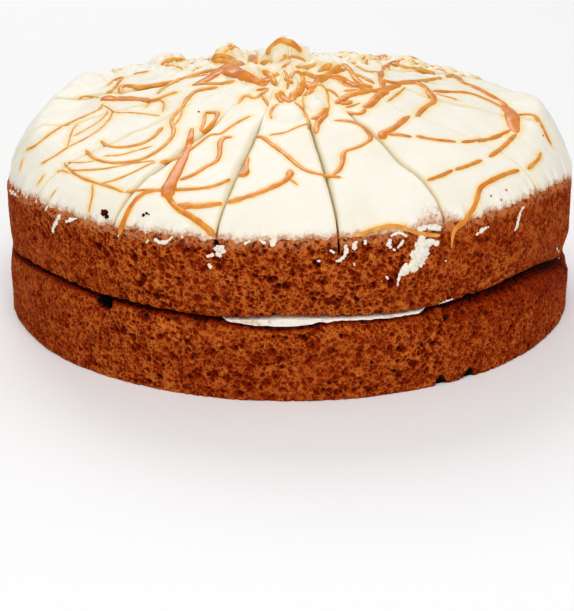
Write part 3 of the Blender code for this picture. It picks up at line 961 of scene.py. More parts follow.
cuts = sorted(((angle + turn + 180) % 360) - 180 for angle in icing["cuts"] for turn in (0, 180))
firstCut = max(which for which, angle in enumerate(cuts) if angle < 0)
draw = Random(11)
lifts = [draw.uniform(-1, 1) * icing["unevenness"] for _ in cuts]


def peakRise(spot):
    # the lumps of icing that stand proud, torn at their tops
    rise = 0
    for radius, angle, width, depth, height in icing["peaks"]:
        away = spot - place(radius * mm, angle, 0)
        if away.length > 1.4 * max(width, depth) * mm:
            continue
        turn = radians(angle)
        across = (away.x * cos(turn) + away.y * sin(turn)) / (width * mm)
        along = (away.y * cos(turn) - away.x * sin(turn)) / (depth * mm)
        torn = 0.35 * noise.noise(spot / icing["peakTorn"] + Vector((height, 2, 6)))
        body = sqrt(max(0, 1 + torn - across * across - along * along)) - icing["peakSink"]
        rise = max(rise, height * mm * body)
    return rise


def icingDetail(radius, angle):
    # spatula marks that run round the cake, soft dents, and rougher cream at the back and the middle
    spot = place(radius, angle, 0)
    height, size = relief["marks"]
    marks = height * noise.noise(Vector((angle / relief["markTurn"], radius / size, 2)))
    height, size = relief["dents"]
    dents = height * noise.noise(spot / size + Vector((7, 7, 7)))
    height, size, fineSize = relief["rough"]
    rough = height * (noise.noise(spot / size + Vector((1, 5, 9))) + 0.6 * noise.noise(spot / fineSize))
    height, size = relief["flakes"]
    flakes = height * (abs(noise.noise(spot / size + Vector((3, 8, 2)))) - relief["flakeSink"])
    back = smooth(abs(angle), *relief["back"])
    middle = 1 - smooth(radius, *relief["middle"])
    shoulder = smooth(abs(angle), *relief["sides"]) * smooth(radius, *relief["shoulder"])
    wild = 0.18 + 0.9 * back + 0.5 * middle + 0.4 * shoulder
    return marks + dents + rough * wild + flakes * back + peakRise(spot)


def lipAt(radius, cut):
    # how far the rounded edge of a cut reaches in
    narrow = icing["narrowLip"] * icing["lip"]
    wide = icing["wideLips"].get(cut, icing["lip"])
    middle = smooth(radius, *icing["lipsWiden"]) * (1 - smooth(radius, *icing["lipsNarrow"]))
    wander = icing["lipWander"] * noise.noise(Vector((cut, radius / icing["lipWanderSize"], 3)))
    return (narrow + (wide - narrow) * middle) * (1 + wander) * smooth(radius, *icing["cutsOpen"])


def kerfHalf(radius):
    # the cuts close up in the rough middle
    closed = icing["kerfClosed"]
    return icing["kerf"] / 2 * (closed + (1 - closed) * smooth(radius, *icing["cutsOpen"]))


def wallDrop(fromWall, lip):
    # the rounded edge of a cut
    if fromWall >= lip:
        return 0
    return lip - sqrt(max(0, lip * lip - (lip - fromWall) ** 2))


def icingSpot(radius, angle, lift, drop):
    # how far out a point on top of the icing lies, its height, and the height of the rim under it
    outer = icing["radius"]
    inward = 1 - smooth(radius, 0.3 * icing["tipRadius"], icing["tipRadius"])
    rim = smooth(outer - radius, *icing["rimEven"])
    wave = icing["wave"] * roughnessAt(radius, angle, 0, icing["waveSize"], 4)
    tips = icing["tipRoughness"] * inward * roughnessAt(radius, angle, 0, icing["tipSize"], 6)
    step = lift * smooth(radius, *icing["cutsOpen"])
    change = (step + wave + icingDetail(radius, angle)) * rim + tips - drop
    level = sponge["top"] + seam["gap"] + shiftAt(radius, angle)
    height = level + icingHeight(radius, angle) + change
    ragged = raggedAt(outer, angle, icing["footRagged"])
    reach = radius + icing["footWander"] * ragged * smooth(radius, icing["footFrom"], outer)
    under = rimTop(reach, angle)
    if radius > outer - 5 * tiny:
        height = under - icing["footSunk"]
    return reach, height, under


def rowRadius(along, tip):
    shoulder, share = icing["rowShoulder"], icing["rowShare"]
    if along < share:
        return tip + (shoulder - tip) * along / share
    return shoulder + (icing["radius"] - shoulder) * sin((along - share) / (1 - share) * pi / 2)


def makeWedge(index, start, end, lift):
    half = (end - start) / 2
    middle = start + half
    tip = kerfHalf(0) / sin(radians(half - icing["tipShare"]))
    deselectAll()
    bpy.ops.mesh.primitive_grid_add(x_subdivisions=icing["columns"], y_subdivisions=icing["rows"], size=2)
    wedge = bpy.context.object
    wedge.name = f"icingWedge{index:02d}"
    bpy.ops.object.mode_set(mode="EDIT")
    bpy.ops.mesh.select_all(action="SELECT")
    bpy.ops.mesh.extrude_region_move(TRANSFORM_OT_translate={"value": (0, 0, -1)})
    bpy.ops.object.mode_set(mode="OBJECT")
    cutShadeShares, stains = [], []
    for vertex in wedge.data.vertices:
        # the grid's width becomes an angle, with columns closing up towards the cuts, its length a radius
        radius = rowRadius((1 - vertex.co.y) / 2, tip)
        side = 1 if vertex.co.x > 0 else -1
        across = side * (1 - (1 - abs(vertex.co.x)) ** icing["columnPower"])
        opening = half - degrees(asin(min(1, kerfHalf(radius) / radius)))
        angle = middle + across * opening
        if vertex.co.z < -0.5:
            floorRadius = min(radius, icing["radius"] - icing["floorInset"])
            height = crownAt(floorRadius) + shiftAt(floorRadius, angle)
            vertex.co = place(floorRadius, angle, height - 10 * tiny)
            # the painted shadow is darkest at the foot of the cut walls
            cutShadeShares.append(1.0 if abs(across) > 0.999 else 0.3)
            stains.append(1.0)
            continue
        fromWall = radius * sin(radians(opening * (1 - abs(across))))
        lip = lipAt(radius, start if side < 0 else end)
        reach, height, under = icingSpot(radius, angle, lift, wallDrop(fromWall, lip))
        vertex.co = place(reach, angle, height)
        # painted shade on the lips of the cuts, fading away from each wall
        shows = icing["lipShade"] * smooth(radius, *icing["cutsOpen"])
        cutShadeShares.append(shows * (1 - smooth(fromWall, 0.3 * lip, 1.2 * lip)) if shows else 0)
        higher = icing["rubbedHigher"] * between(angle, icing["rubbed"], icing["rubbedEdge"])
        stained = 1 - smooth(height - under, 0, icing["stain"] * (1 + higher))
        stains.append(stained if radius > icing["stainFrom"] else 0)
    setValues(wedge, "cut", cutShadeShares)
    setValues(wedge, "stain", stains)
    closeShape(wedge, 0.000005)
    shadeRound(wedge, 55)
    return wedge


def portionEnds(which):
    # the cuts on both sides of a portion
    return cuts[which], cuts[which + 1] if which + 1 < len(cuts) else cuts[0] + 360


wedges = []
for index in range(len(cuts)):
    which = (firstCut + index) % len(cuts)
    wedge = makeWedge(index + 1, *portionEnds(which), lifts[which])
    dress(wedge, icingMaterial, "icing", f"icing_{index + 1:02d}")
    wedges.append(wedge)
print("icing ready")


def portionAt(angle):
    # the portion that an angle falls in
    for which in range(len(cuts)):
        start, end = portionEnds(which)
        if (angle - start) % 360 < end - start:
            return which
    return 0


def icingSkin(rings=150, spokes=480):
    # the top of the icing with its cuts bridged, for the drizzle to lie on
    corners, faces = [], []
    for ring in range(rings + 1):
        radius = icing["radius"] * sin(pi / 2 * ring / rings)
        for spoke in range(spokes):
            angle = 360 * spoke / spokes - 180
            which = portionAt(angle)
            start, end = portionEnds(which)
            toStart, toEnd = (angle - start) % 360, (end - angle) % 360
            cut, away = (start, toStart) if toStart < toEnd else (end, toEnd)
            fromWall = max(0, radius * sin(radians(away)) - kerfHalf(radius))
            drop = icing["bridged"] * wallDrop(fromWall, lipAt(radius, cut if cut <= 180 else cut - 360))
            reach, height, _ = icingSpot(radius, angle, lifts[which], drop)
            corners.append(place(reach, angle, height))
            if ring:
                here, before = ring * spokes, (ring - 1) * spokes
                after = (spoke + 1) % spokes
                faces.append((before + spoke, here + spoke, here + after, before + after))
    return corners, faces


topSkin = icingSkin()
icingTree = treeOf(topSkin)
cakeTree = treeOf(lowerSkin, upperSkin, topSkin)


# the caramel drizzle as the camera sees it: width in mm, then places in the picture in pixels, with
# a factor for the width where it is thicker or thinner there
strands = (
    # from the left rim inwards
    (1.3, (26, 150), (35, 146), (47.5, 136), (60, 127.5), (74, 121), (87.5, 115), (100, 109), (102.5, 104)),
    (1.0, (41, 164), (55, 156), (67.5, 147.5), (82.5, 140), (97.5, 131), (109, 120), (112.5, 112.5)),
    (0.8, (67.5, 147.5), (70, 137.5), (74, 127.5), (80, 122.5)),
    (0.8, (74, 136), (85, 130), (97.5, 122.5), (106, 115), (107.5, 110)),
    (1.8, (101, 141), (107.5, 146), (120, 147.5), (132.5, 146), (145, 142.5), (155, 136),
     (162.5, 127.5, 1.3)),
    (1.8, (86, 150), (92.5, 157.5), (107.5, 162.5), (125, 162.5), (142.5, 159), (157.5, 151), (170, 140),
     (174, 130), (171, 122.5), (175, 115), (182.5, 107.5), (187.5, 99), (197.5, 91), (217.5, 87.5)),
    (0.8, (105, 156), (120, 155), (135, 151), (152.5, 146)),
    (1.0, (182.5, 107.5), (180, 117.5), (172.5, 127.5)),
    (1.1, (64, 162.5), (71, 170), (85, 170), (102.5, 169), (120, 166), (137.5, 162.5), (155, 161)),
    (1.3, (70, 171), (85, 179), (100, 184), (112.5, 187.5), (124, 192.5)),
    (1.1, (100, 184), (115, 180), (127.5, 175), (140, 169), (150, 164), (156, 162.5)),
    (0.7, (67.5, 162.5), (82.5, 162.5), (95, 161)),
    (0.8, (57.5, 171), (65, 171), (70, 174)),
    (1.3, (125, 192.5), (132.5, 191), (145, 190), (162.5, 189)),
    (2.2, (162.5, 190), (150, 191), (140, 196), (132.5, 204), (127.5, 212.5), (122.5, 225), (119, 235)),
    (4.2, (192, 128, 0.5), (190, 140, 0.65), (187.5, 150, 0.7), (182.5, 160), (177.5, 170, 1.2),
     (172.5, 180, 1.25), (168, 190, 1.4), (168.5, 198, 1.1)),
    (2.6, (168, 190, 1.3), (170, 200), (180, 210), (195, 219), (207.5, 229), (218, 239, 1.2)),
    (2.6, (176, 205), (185, 206, 1.3), (200, 206, 1.2), (217.5, 204), (227.5, 202.5), (240, 199),
     (260, 192.5), (275, 186), (285, 181), (290, 175, 1.2), (290, 170)),
    (1.0, (289, 178), (297.5, 185)),
    (1.7, (175, 190, 1.4), (192.5, 189), (207.5, 187.5), (220, 184), (230, 179)),
    (2.0, (239, 176, 1.6), (245, 174, 1.7), (246, 167.5), (247.5, 157.5), (250, 145), (256, 137.5),
     (262.5, 137.5), (272.5, 145), (285, 154), (297.5, 165), (307.5, 171), (322.5, 175), (330, 176),
     (341, 177.5)),
    (2.0, (180, 180), (192.5, 175), (205, 167.5), (217.5, 160), (220, 150), (220, 142.5, 1.3), (225, 137.5),
     (232.5, 137.5)),
    (1.4, (160, 162.5, 1.6), (170, 161, 1.4), (180, 157.5), (190, 150), (200, 142.5), (210, 135),
     (220, 134), (227.5, 129), (237.5, 122.5), (250, 116)),
    (1.9, (205, 112.5), (217.5, 113, 1.2), (215, 120), (209, 127.5), (204, 132), (200, 130)),
    (1.5, (205, 112.5), (204, 122.5), (200, 131)),
    (4.0, (102.5, 97.5), (112.5, 99, 1.1), (127.5, 99), (145, 100, 0.8), (150, 102.5, 0.6)),
    (1.7, (145, 101), (157.5, 99), (170, 94), (177.5, 92.5)),
    (1.2, (106, 94), (114, 89), (120, 81), (122.5, 77.5), (115, 80), (107.5, 86)),
    (1.8, (122.5, 94), (120, 89), (125, 86, 1.2), (140, 87.5, 1.2), (157.5, 85), (175, 81)),
    (1.7, (157.5, 94), (165, 87.5), (180, 80), (195, 75), (210, 71), (220, 70)),
    (1.4, (176, 80), (190, 77.5), (207.5, 75)),
    (0.8, (102.5, 105), (107.5, 107.5), (115, 112.5), (130, 112.5), (145, 114), (160, 116)),
    (0.7, (79, 99), (85, 96), (100, 98)),
    (0.9, (145, 107.5), (155, 101), (164, 102.5), (162.5, 112.5)),
    # the thick of it, left of the middle
    (1.3, (161, 65), (170, 60), (185, 60)),
    (1.2, (164, 66), (175, 66), (182.5, 70)),
    (1.0, (134, 74), (145, 72), (150, 71)),
    (1.6, (211, 60), (220, 55), (227.5, 57.5), (240, 64, 1.3), (241, 66)),
    (1.8, (211, 60), (225, 61), (237.5, 67.5, 1.3)),
    (1.0, (225, 52.5), (232.5, 47), (237.5, 47.5)),
    (3.6, (195, 85, 0.7), (205, 81), (215, 75, 1.3), (225, 69, 1.6), (235, 72.5, 1.3), (245, 76, 0.8),
     (255, 81, 0.8), (262, 82, 0.9), (268, 80), (269, 77)),
    (1.7, (192.5, 85), (205, 84), (220, 84), (235, 81)),
    (2.2, (248, 55), (252, 59, 1.3), (256.5, 65)),
    (2.8, (230, 62), (237, 63), (243, 65.5)),
    (1.4, (260.5, 63), (266, 62), (271.5, 63.5)),
    (1.4, (238.5, 103.5), (243, 97), (248.5, 95.5), (254, 98.5), (263, 93.5), (268.5, 90)),
    (1.5, (256, 90), (268, 89)),
    (1.6, (273, 74), (276, 76, 1.3), (279, 74)),
    # the middle
    (1.6, (267, 55), (271.5, 45), (277, 40.5), (285.5, 41), (293, 44, 1.2), (301.5, 51.5)),
    (1.0, (279, 62), (284, 60), (293, 57.5, 1.3), (301.5, 59), (305.5, 61.5)),
    (1.0, (281.5, 67.5), (285.5, 65.5), (290, 62.5)),
    (1.7, (283, 57), (287, 55.5)),
    (2.4, (280, 91), (283, 97), (287, 101, 1.3), (292, 101, 1.2), (294, 95, 1.2), (300, 91, 1.2),
     (301.5, 85), (307, 83), (310, 88), (315.5, 85)),
    (1.2, (291.5, 83.5), (290.5, 77.5), (293.5, 72.5), (298.5, 72), (303, 76.5), (302, 83.5)),
    (0.9, (284, 70.5), (287, 76.5), (288.5, 83.5), (287, 89)),
    (1.5, (303, 72), (310, 75), (315.5, 77.5), (327, 75), (333, 70.5), (343, 65, 1.4), (348.5, 67.5)),
    (1.3, (271.5, 119), (270.5, 113.5), (273, 107.5), (278.5, 104)),
    (1.3, (294.5, 102), (300, 106.5), (304, 112), (308, 120.5), (308.5, 129)),
    (0.8, (304, 112), (303, 100.5), (305.5, 93.5), (314, 86.5), (321.5, 85), (327, 92), (328.5, 103.5),
     (330, 109)),
    (3.0, (311, 119, 0.8), (318.5, 117.5), (324, 113, 1.1), (328, 108, 0.8)),
    (2.8, (328, 114, 0.8), (321, 119), (317, 125, 0.9), (316.5, 133)),
    (1.1, (270, 135), (285, 132.5), (293, 129), (301.5, 125.5), (310, 123.5)),
    (1.1, (326, 89), (333, 92), (338.5, 97.5)),
    (1.8, (262, 71), (268, 74), (273, 80), (276, 86)),
    (1.6, (276, 93), (279, 99), (283, 103)),
    (1.5, (296, 66), (302, 68), (309, 67), (316, 64)),
    (1.4, (284, 78), (289, 80), (293, 84)),
    (2.0, (306, 96), (309, 92), (314, 90)),
    (1.3, (262, 96), (266, 101), (268, 106)),
    # right of the middle
    (1.6, (318, 72), (325, 68), (332, 64)),
    (2.6, (340, 103, 0.8), (346, 104), (352, 101, 0.8)),
    (1.4, (352, 75), (360, 76), (368, 80), (374, 84)),
    (1.2, (345, 108), (352, 106), (360, 103)),
    (2.0, (330, 76.5), (338.5, 77.5), (350, 83.5, 1.2), (361.5, 87.5, 1.3), (370, 90.5, 1.4),
     (381.5, 90.5, 1.3), (391.5, 87.5, 1.2), (400, 85)),
    (1.7, (343, 65, 1.4), (350, 70.5), (355.5, 79), (364, 85), (373, 87)),
    (2.2, (313, 86), (320, 80), (328, 76), (336, 71), (346, 70, 0.6)),
    (0.9, (338.5, 79), (344, 85), (353, 87.5)),
    (2.8, (335.5, 103.5), (341.5, 100.5, 1.1), (347, 96.5), (355.5, 93.5), (364, 92), (370, 91.5)),
    (1.2, (344, 91), (352, 90), (362, 91)),
    (3.0, (363, 107.5), (370, 105), (375.5, 99), (381.5, 93.5), (387, 90.5)),
    (2.0, (347, 112), (354, 114, 1.1), (361.5, 113.5), (365.5, 109)),
    (2.0, (380, 79), (381.5, 72), (385.5, 66.5), (393, 62), (398.5, 64)),
    (2.4, (380, 79), (387, 82), (400, 83.5), (415, 83), (425, 87.5), (430, 94, 1.1), (434, 101),
     (425, 107.5), (416, 116.5)),
    (1.0, (351.5, 62), (358.5, 67.5), (367, 71.5), (378.5, 72)),
    (2.0, (382, 90), (382.5, 83), (380, 78)),
    (2.0, (334, 120.5, 0.7), (347.5, 121), (357.5, 124), (366, 130), (371, 138.5), (362.5, 145),
     (352.5, 149), (344, 152.5), (342.5, 162.5), (339, 170), (331, 176)),
    (0.9, (387.5, 101.5), (397.5, 94), (405, 87.5)),
    (1.5, (390, 63), (405, 67.5), (420, 70, 1.2), (435, 74, 1.2)),
    (1.6, (400, 81.5), (417.5, 81.5), (430, 80), (442.5, 77.5)),
    (3.0, (384, 139, 1.2), (382.5, 134, 1.2), (395, 127.5), (405, 119), (409, 116)),
    (2.1, (387.5, 134.5), (400, 135), (411.5, 137)),
    (2.0, (416, 136), (430, 139), (442.5, 140.5), (456, 142)),
    (2.4, (461.5, 142.5), (475, 141), (490, 139), (502.5, 134), (510, 130)),
    (1.9, (432.5, 91.5), (450, 92), (467.5, 93), (485, 99), (497.5, 105), (505, 109)),
    (0.9, (435, 94), (447.5, 97), (457.5, 100)),
    (2.2, (446, 77), (455, 76), (462.5, 82.5), (475, 87.5), (487.5, 94), (500, 101), (507.5, 107.5)),
    (5.4, (502, 105, 0.5), (508, 110, 0.9), (512, 117, 1.15), (513.5, 125), (516.5, 133, 0.7)),
    (1.9, (517.5, 115), (532.5, 115), (540, 122.5), (545, 132.5), (551, 145)),
    (2.2, (516, 134), (505, 145), (496, 152.5), (489, 157)),
    (2.0, (481.5, 160), (470, 165), (455, 170)),
    (1.9, (452.5, 170), (442.5, 175), (427.5, 180.5)),
    (1.6, (541, 152.5), (537.5, 160), (527.5, 169, 1.4)),
    (2.1, (519, 170), (506, 174), (492.5, 180), (481, 187), (478, 195), (475, 205), (467.5, 217.5),
     (455, 230), (452.5, 237.5, 0.7), (451.5, 248, 0.5)),
    (1.8, (354, 236), (362.5, 234), (380, 228), (397.5, 226.5), (415, 232.5), (430, 235), (440, 235.5)),
    # drips at the left of the foot
    (1.0, (44, 175), (37.5, 185)),
    (0.9, (56, 190), (50, 199)),
    (0.9, (92.5, 184), (92.5, 195), (90, 206), (89, 212.5)),
    (1.0, (22.5, 160), (20, 170)),
)
drizzle = {
    "step": 1.1 * mm,
    "pictureStep": 1.5,
    "tries": 10,
    "largestJump": 10 * mm,
    "overlap": 0.5,
    # a place is evened out with these places before and after it
    "evened": (-2, -1, 0, 0, 1, 2),
    "taper": (0.4, 0.75, 0.92),
    "uneven": 0.25,
    "unevenLength": 6 * mm,
    "kinds": (
        {"least": 3.1, "flatness": 0.26, "stand": 0.05},
        {"least": 1.85, "flatness": 0.34, "stand": 0.08},
        {"least": 0, "flatness": 0.48, "stand": 0.14},
    ),
    # how far thin caramel spreads at the front and at the back, and where that changes
    "glazeWidth": (2.2 * mm, 3.8 * mm),
    "glazeFront": (25 * mm, 75 * mm),
    # the cuts that break a strand: these two at the front, and all that are further round than this
    "brokenBy": (-13, 8.6),
    "brokenFrom": 130,
    # strands further off lie flat, so they are wider than they look
    "farWider": 0.6,
    "far": (75, 120),
    # where the back's strands lie, and how thin they are where the picture would show them
    "backFrom": 118,
    "backRadius": 42 * mm,
    "backThin": 1.6,
    "hidden": 2 * mm,
}
eye = Vector(camera["place"])
onePixel = 1 / (camera["lens"] / camera["sensor"] * camera["frame"][1])


def routeThrough(spots, step):
    # a smooth route through the spots, in small steps
    spots = [spots[0] * 2 - spots[1]] + spots + [spots[-1] * 2 - spots[-2]]
    route = []
    for before, start, end, after in zip(spots, spots[1:], spots[2:], spots[3:]):
        steps = max(1, ceil((end - start).length / step))
        for index in range(steps):
            t = index / steps
            route.append(
                0.5
                * (
                    2 * start
                    + (end - before) * t
                    + (2 * before - 5 * start + 4 * end - after) * t**2
                    + (3 * start - before - 3 * end + after) * t**3
                )
            )
    return route + [spots[-2]]


def firstTouch(direction):
    # where a line from the camera meets the cake; one that passes just over it is lowered until it does
    for _ in range(drizzle["tries"]):
        spot, normal, _, _ = cakeTree.ray_cast(eye, direction)
        if spot:
            return spot, normal if normal.dot(direction) < 0 else -normal
        direction = (direction - Vector((0, 0, onePixel))).normalized()
    return None


def seenAlong(spot):
    # what the camera sees when it looks at this spot
    return firstTouch((spot - eye).normalized())[0]


def picturedRoute(corners):
    # a strand as it lies on the cake, with a factor for its width at each place
    spots = [Vector((corner[0], corner[1], corner[2] if len(corner) > 2 else 1)) for corner in corners]
    route = []
    for spot in routeThrough(spots, drizzle["pictureStep"]):
        touch = firstTouch(sightLine(spot.x, spot.y))
        if touch:
            wider = 1 + drizzle["farWider"] * (1 - smooth(spot.y, *drizzle["far"]))
            route.append((*touch, spot.z * wider))
    return route


def backRoutes(front):
    # the back is laid like the front, half a turn round
    made = []
    for width, route in front:
        turned = []
        for spot, _, swell in route:
            above = Vector((-spot.x, -spot.y, 2 * icing["radius"]))
            top, normal, _, _ = icingTree.ray_cast(above, Vector((0, 0, -1)))
            if not top or hypot(top.x, top.y) < drizzle["backRadius"]:
                continue
            seen = (seenAlong(top) - top).length < drizzle["hidden"]
            if seen and width > drizzle["backThin"]:
                continue
            if abs(frontAngle(top.x, top.y)) > drizzle["backFrom"]:
                turned.append((top, normal, swell))
        if len(turned) > 3:
            made.append((width, turned))
    return made


def splitRoute(route):
    # a strand bridges a narrow cut, and stops at some of them and where the cake falls away
    runs, run = [], []
    for spot, normal, swell in route:
        radius, angle = hypot(spot.x, spot.y), frontAngle(spot.x, spot.y)
        cut = min(cuts, key=lambda cut: abs((angle - cut + 180) % 360 - 180))
        away = radius * sin(radians(angle - cut))
        opened = icing["cutsOpen"][1] < radius < icing["radius"]
        breaks = cut in drizzle["brokenBy"] or abs(cut) > drizzle["brokenFrom"]
        broken = opened and breaks and abs(away) < icing["kerf"]
        jumps = run and (spot - run[-1][0]).length > drizzle["largestJump"]
        if broken or jumps:
            runs.append(run)
            run = []
        if not broken:
            run.append((spot, normal, swell))
    runs.append(run)
    return [settled(run) for run in runs if len(run) > 2]


def settled(run):
    # evens out the small unevenness that thick caramel bridges
    last = len(run) - 1
    even = []
    for index, (spot, normal, swell) in enumerate(run):
        near = [run[min(last, max(0, index + step))] for step in drizzle["evened"]]
        if 0 < index < last:
            spot = sum((item[0] for item in near), Vector()) / len(near)
        even.append((spot, sum((item[1] for item in near), Vector()).normalized(), swell))
    return even


def turnOf(way, normal):
    # how far a flat strand is turned about its own line to lie on a slope
    level = Vector((0, 0, 1)) - way * way.z
    facing = normal - way * way.dot(normal)
    if min(level.length, facing.length) < 0.05:
        return 0
    return atan2(way.dot(level.cross(facing)), level.dot(facing))


def makeProfile(flatness):
    deselectAll()
    bpy.ops.curve.primitive_bezier_circle_add(radius=1)
    profile = bpy.context.object
    profile.name = "strandProfile"
    profile.scale = (1, flatness, 1)
    bpy.ops.object.transform_apply(location=False, rotation=False, scale=True)
    profile.data.resolution_u = 3
    return profile


def newTube(name, profile, look):
    deselectAll()
    bpy.ops.curve.primitive_nurbs_path_add()
    tube = bpy.context.object
    tube.name = name
    curve = tube.data
    curve.splines.clear()
    curve.dimensions = "3D"
    curve.twist_mode = "Z_UP"
    curve.bevel_mode = "OBJECT"
    curve.bevel_object = profile
    curve.use_fill_caps = True
    curve.materials.append(look)
    return tube


def layStrand(tube, run, halves, stand):
    # one strand along a run of places, with its half width at each
    spline = tube.data.splines.new("POLY")
    spline.points.add(len(run) - 1)
    last = len(run) - 1
    for step, (spot, normal, _) in enumerate(run):
        way = (run[min(last, step + 1)][0] - run[max(0, step - 1)][0]).normalized()
        spline.points[step].co = (*(spot + normal * halves[step] * stand), 1)
        spline.points[step].radius = halves[step]
        spline.points[step].tilt = turnOf(way, normal)


def finishTube(tube):
    makeActive(tube)
    bpy.ops.object.convert(target="MESH")
    piece = bpy.context.object
    closeShape(piece, 0.00001)
    shadeRound(piece, 60)
    return piece


def halvesOf(run, width, seed):
    # the half width along a run, which swells a little and tapers at both ends
    halves = []
    for step, (_, _, swell) in enumerate(run):
        along = step * drizzle["step"] / drizzle["unevenLength"]
        uneven = 1 + drizzle["uneven"] * noise.noise(Vector((along, seed, 0)))
        end = min(step, len(run) - 1 - step)
        taper = drizzle["taper"][end] if end < len(drizzle["taper"]) else 1
        halves.append(width * mm * drizzle["overlap"] * swell * uneven * taper)
    return halves


def sortedRuns():
    # every run of caramel with its half widths, by the portion that it starts on and by its kind
    routes = [(width, picturedRoute(corners)) for width, *corners in strands]
    routes += backRoutes(routes)
    runs = {}
    for seed, (width, route) in enumerate(routes):
        kind = next(index for index, kind in enumerate(drizzle["kinds"]) if width >= kind["least"])
        for run in splitRoute(route):
            spot = run[0][0]
            which = portionAt(frontAngle(spot.x, spot.y))
            key = ((which - firstCut) % len(cuts), kind)
            runs.setdefault(key, []).append((run, halvesOf(run, width, seed)))
    return runs


def makeDrizzle(runs):
    pieces = {}
    for (portion, kind), laid in sorted(runs.items(), key=lambda item: item[0]):
        setting = drizzle["kinds"][kind]
        profile = makeProfile(setting["flatness"])
        tube = newTube(f"strands{portion}{kind}", profile, caramelMaterials[kind])
        for run, halves in laid:
            layStrand(tube, run, halves, setting["stand"])
        pieces.setdefault(portion, []).append(finishTube(tube))
        bpy.data.objects.remove(profile)
    for portion, parts in pieces.items():
        piece = joinPieces(parts, f"drizzle{portion + 1:02d}")
        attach(piece, "root")


def glazeIcing(runs):
    # marks where thin caramel has spread beside the strands
    laid = [pair for laid in runs.values() for pair in laid]
    spots = [(spot, half) for run, halves in laid for (spot, _, _), half in zip(run, halves)]
    outer, inner = drizzle["glazeWidth"]
    tree = KDTree(len(spots))
    for index, (spot, _) in enumerate(spots):
        tree.insert(spot, index)
    tree.balance()
    for wedge in wedges:
        values = []
        for vertex in wedge.data.vertices:
            _, index, away = tree.find(vertex.co)
            half = spots[index][1]
            spread = inner + (outer - inner) * smooth(-vertex.co.y, *drizzle["glazeFront"])
            values.append(1 - smooth(away, half, half + spread))
        setValues(wedge, "glaze", values)


drizzleRuns = sortedRuns()
makeDrizzle(drizzleRuns)
glazeIcing(drizzleRuns)
print("drizzle ready")


# icing smeared and dropped on the side: places in the picture in pixels, and the width in mm there
smears = (
    ((421, 228, 3.4), (427, 226, 4.6), (434, 227, 4.4), (440, 227, 3.0)),
    ((427, 243, 2.6), (432, 242, 3.8), (437.5, 243, 2.6)),
    ((424, 234, 3.0), (421, 240, 4.4), (420.5, 247, 7.0), (419, 255, 8.2), (416, 262, 8.4), (409, 268, 5.6),
     (402, 273, 3.0), (399, 279, 1.8), (397.5, 286, 1.0)),
    ((391, 236, 1.4), (399, 232.5, 2.0), (407, 236, 1.2)),
    ((390, 240, 1.6), (389.5, 245, 2.4), (390.5, 248.5, 1.2)),
    ((393, 249.5, 1.1), (395, 250.5, 1.1)),
    ((403.5, 240.5, 1.4), (401, 244, 1.7), (398, 247.5, 1.2)),
    ((386.5, 276.5, 1.0), (388, 279, 1.0)),
    ((445.5, 260.5, 0.9), (446.5, 261.5, 0.9)),
    ((215, 249, 2.2), (219, 247.5, 3.0), (222.5, 252, 2.4)),
    ((217, 254, 2.2), (221, 255.5, 2.0)),
    ((207, 256.5, 1.4), (213, 254.5, 1.7)),
    ((209, 265, 1.7), (211, 268, 1.3)),
    ((245.5, 243, 1.4), (249.5, 241.5, 1.7)),
    ((260.5, 240.5, 1.4), (264, 243, 1.7)),
    ((276, 237.5, 1.6), (273, 241, 2.5), (272, 245.5, 1.6)),
    ((331, 250.5, 1.4), (334, 253, 1.2)),
    ((345, 246, 1.6), (345.5, 251, 2.0), (344, 257, 2.1), (340, 260.5, 1.7), (335.5, 261.5, 1.2)),
    ((356.5, 241.5, 1.4), (354, 245, 2.1), (355, 250, 1.4)),
    ((365.5, 240, 1.5), (365.5, 243.5, 1.5)),
    ((354, 263.5, 0.8), (354.5, 265.5, 0.8)),
    ((317, 261, 0.9), (320, 261, 0.9)),
    ((60, 216, 2.0), (56.5, 220, 2.8), (54, 225, 3.0), (53, 231, 1.6)),
    ((66, 222, 1.5), (71, 219.5, 2.0), (77, 218.5, 1.2)),
    ((524, 207, 1.6), (521, 212, 1.5), (519, 219, 1.8), (517, 226, 2.4), (515.5, 231, 1.4)),
    ((477, 235, 1.2), (482, 230.5, 2.0), (489, 226.5, 1.2)),
    ((156, 240, 1.5), (161, 243, 1.8), (168, 241, 1.8), (172, 237, 1.1)),
    ((146, 243, 1.0), (148, 240, 1.0)),
    ((9.5, 190, 1.3), (13, 193, 2.0), (17, 196, 1.2)),
    ((19, 186, 0.9), (17.5, 192, 1.3)),
    ((28, 190, 0.9), (26, 198, 1.2)),
    ((37, 196, 0.9), (35.5, 202, 1.1)),
    ((48, 204, 1.0), (45.5, 210, 1.3)),
    ((87, 214, 0.9), (85, 219, 1.2)),
    ((119, 232, 0.9), (118, 236, 1.1)),
    ((183, 232, 0.9), (182, 238, 1.2)),
    ((557, 248, 1.4), (559, 252, 1.8)),
    ((560, 257, 1.3), (558.5, 259, 1.1)),
    # a bit of filling that shows again further right
    ((439.5, 304, 1.0), (445, 302, 1.3), (452, 299.5, 1.0)),
)
smear = {
    # the distance from the camera to the side that the smears are on
    "distance": 0.72,
    "spacing": 0.42,
    "spread": 0.22,
    "sizes": (0.6, 1.0),
    "flatness": 0.34,
    "sunk": 0.10,
    "ragged": 0.55,
    "raggedSize": 1.5 * mm,
    "stain": 0.42,
    # the far side has lumps smaller than this in the same places, half a turn round
    "farSize": 3.0,
}


def farTouch(spot):
    # the same height on the far side of the cake
    outward = Vector((-spot.x, -spot.y, 0)).normalized()
    start = outward * 2 * icing["radius"] + Vector((0, 0, spot.z))
    there, normal, _, _ = cakeTree.ray_cast(start, -outward)
    return there, normal if normal.dot(outward) > 0 else -normal


# a lump is made finer from each of these sizes in mm
lumpSizes = (1.8, 4.5)


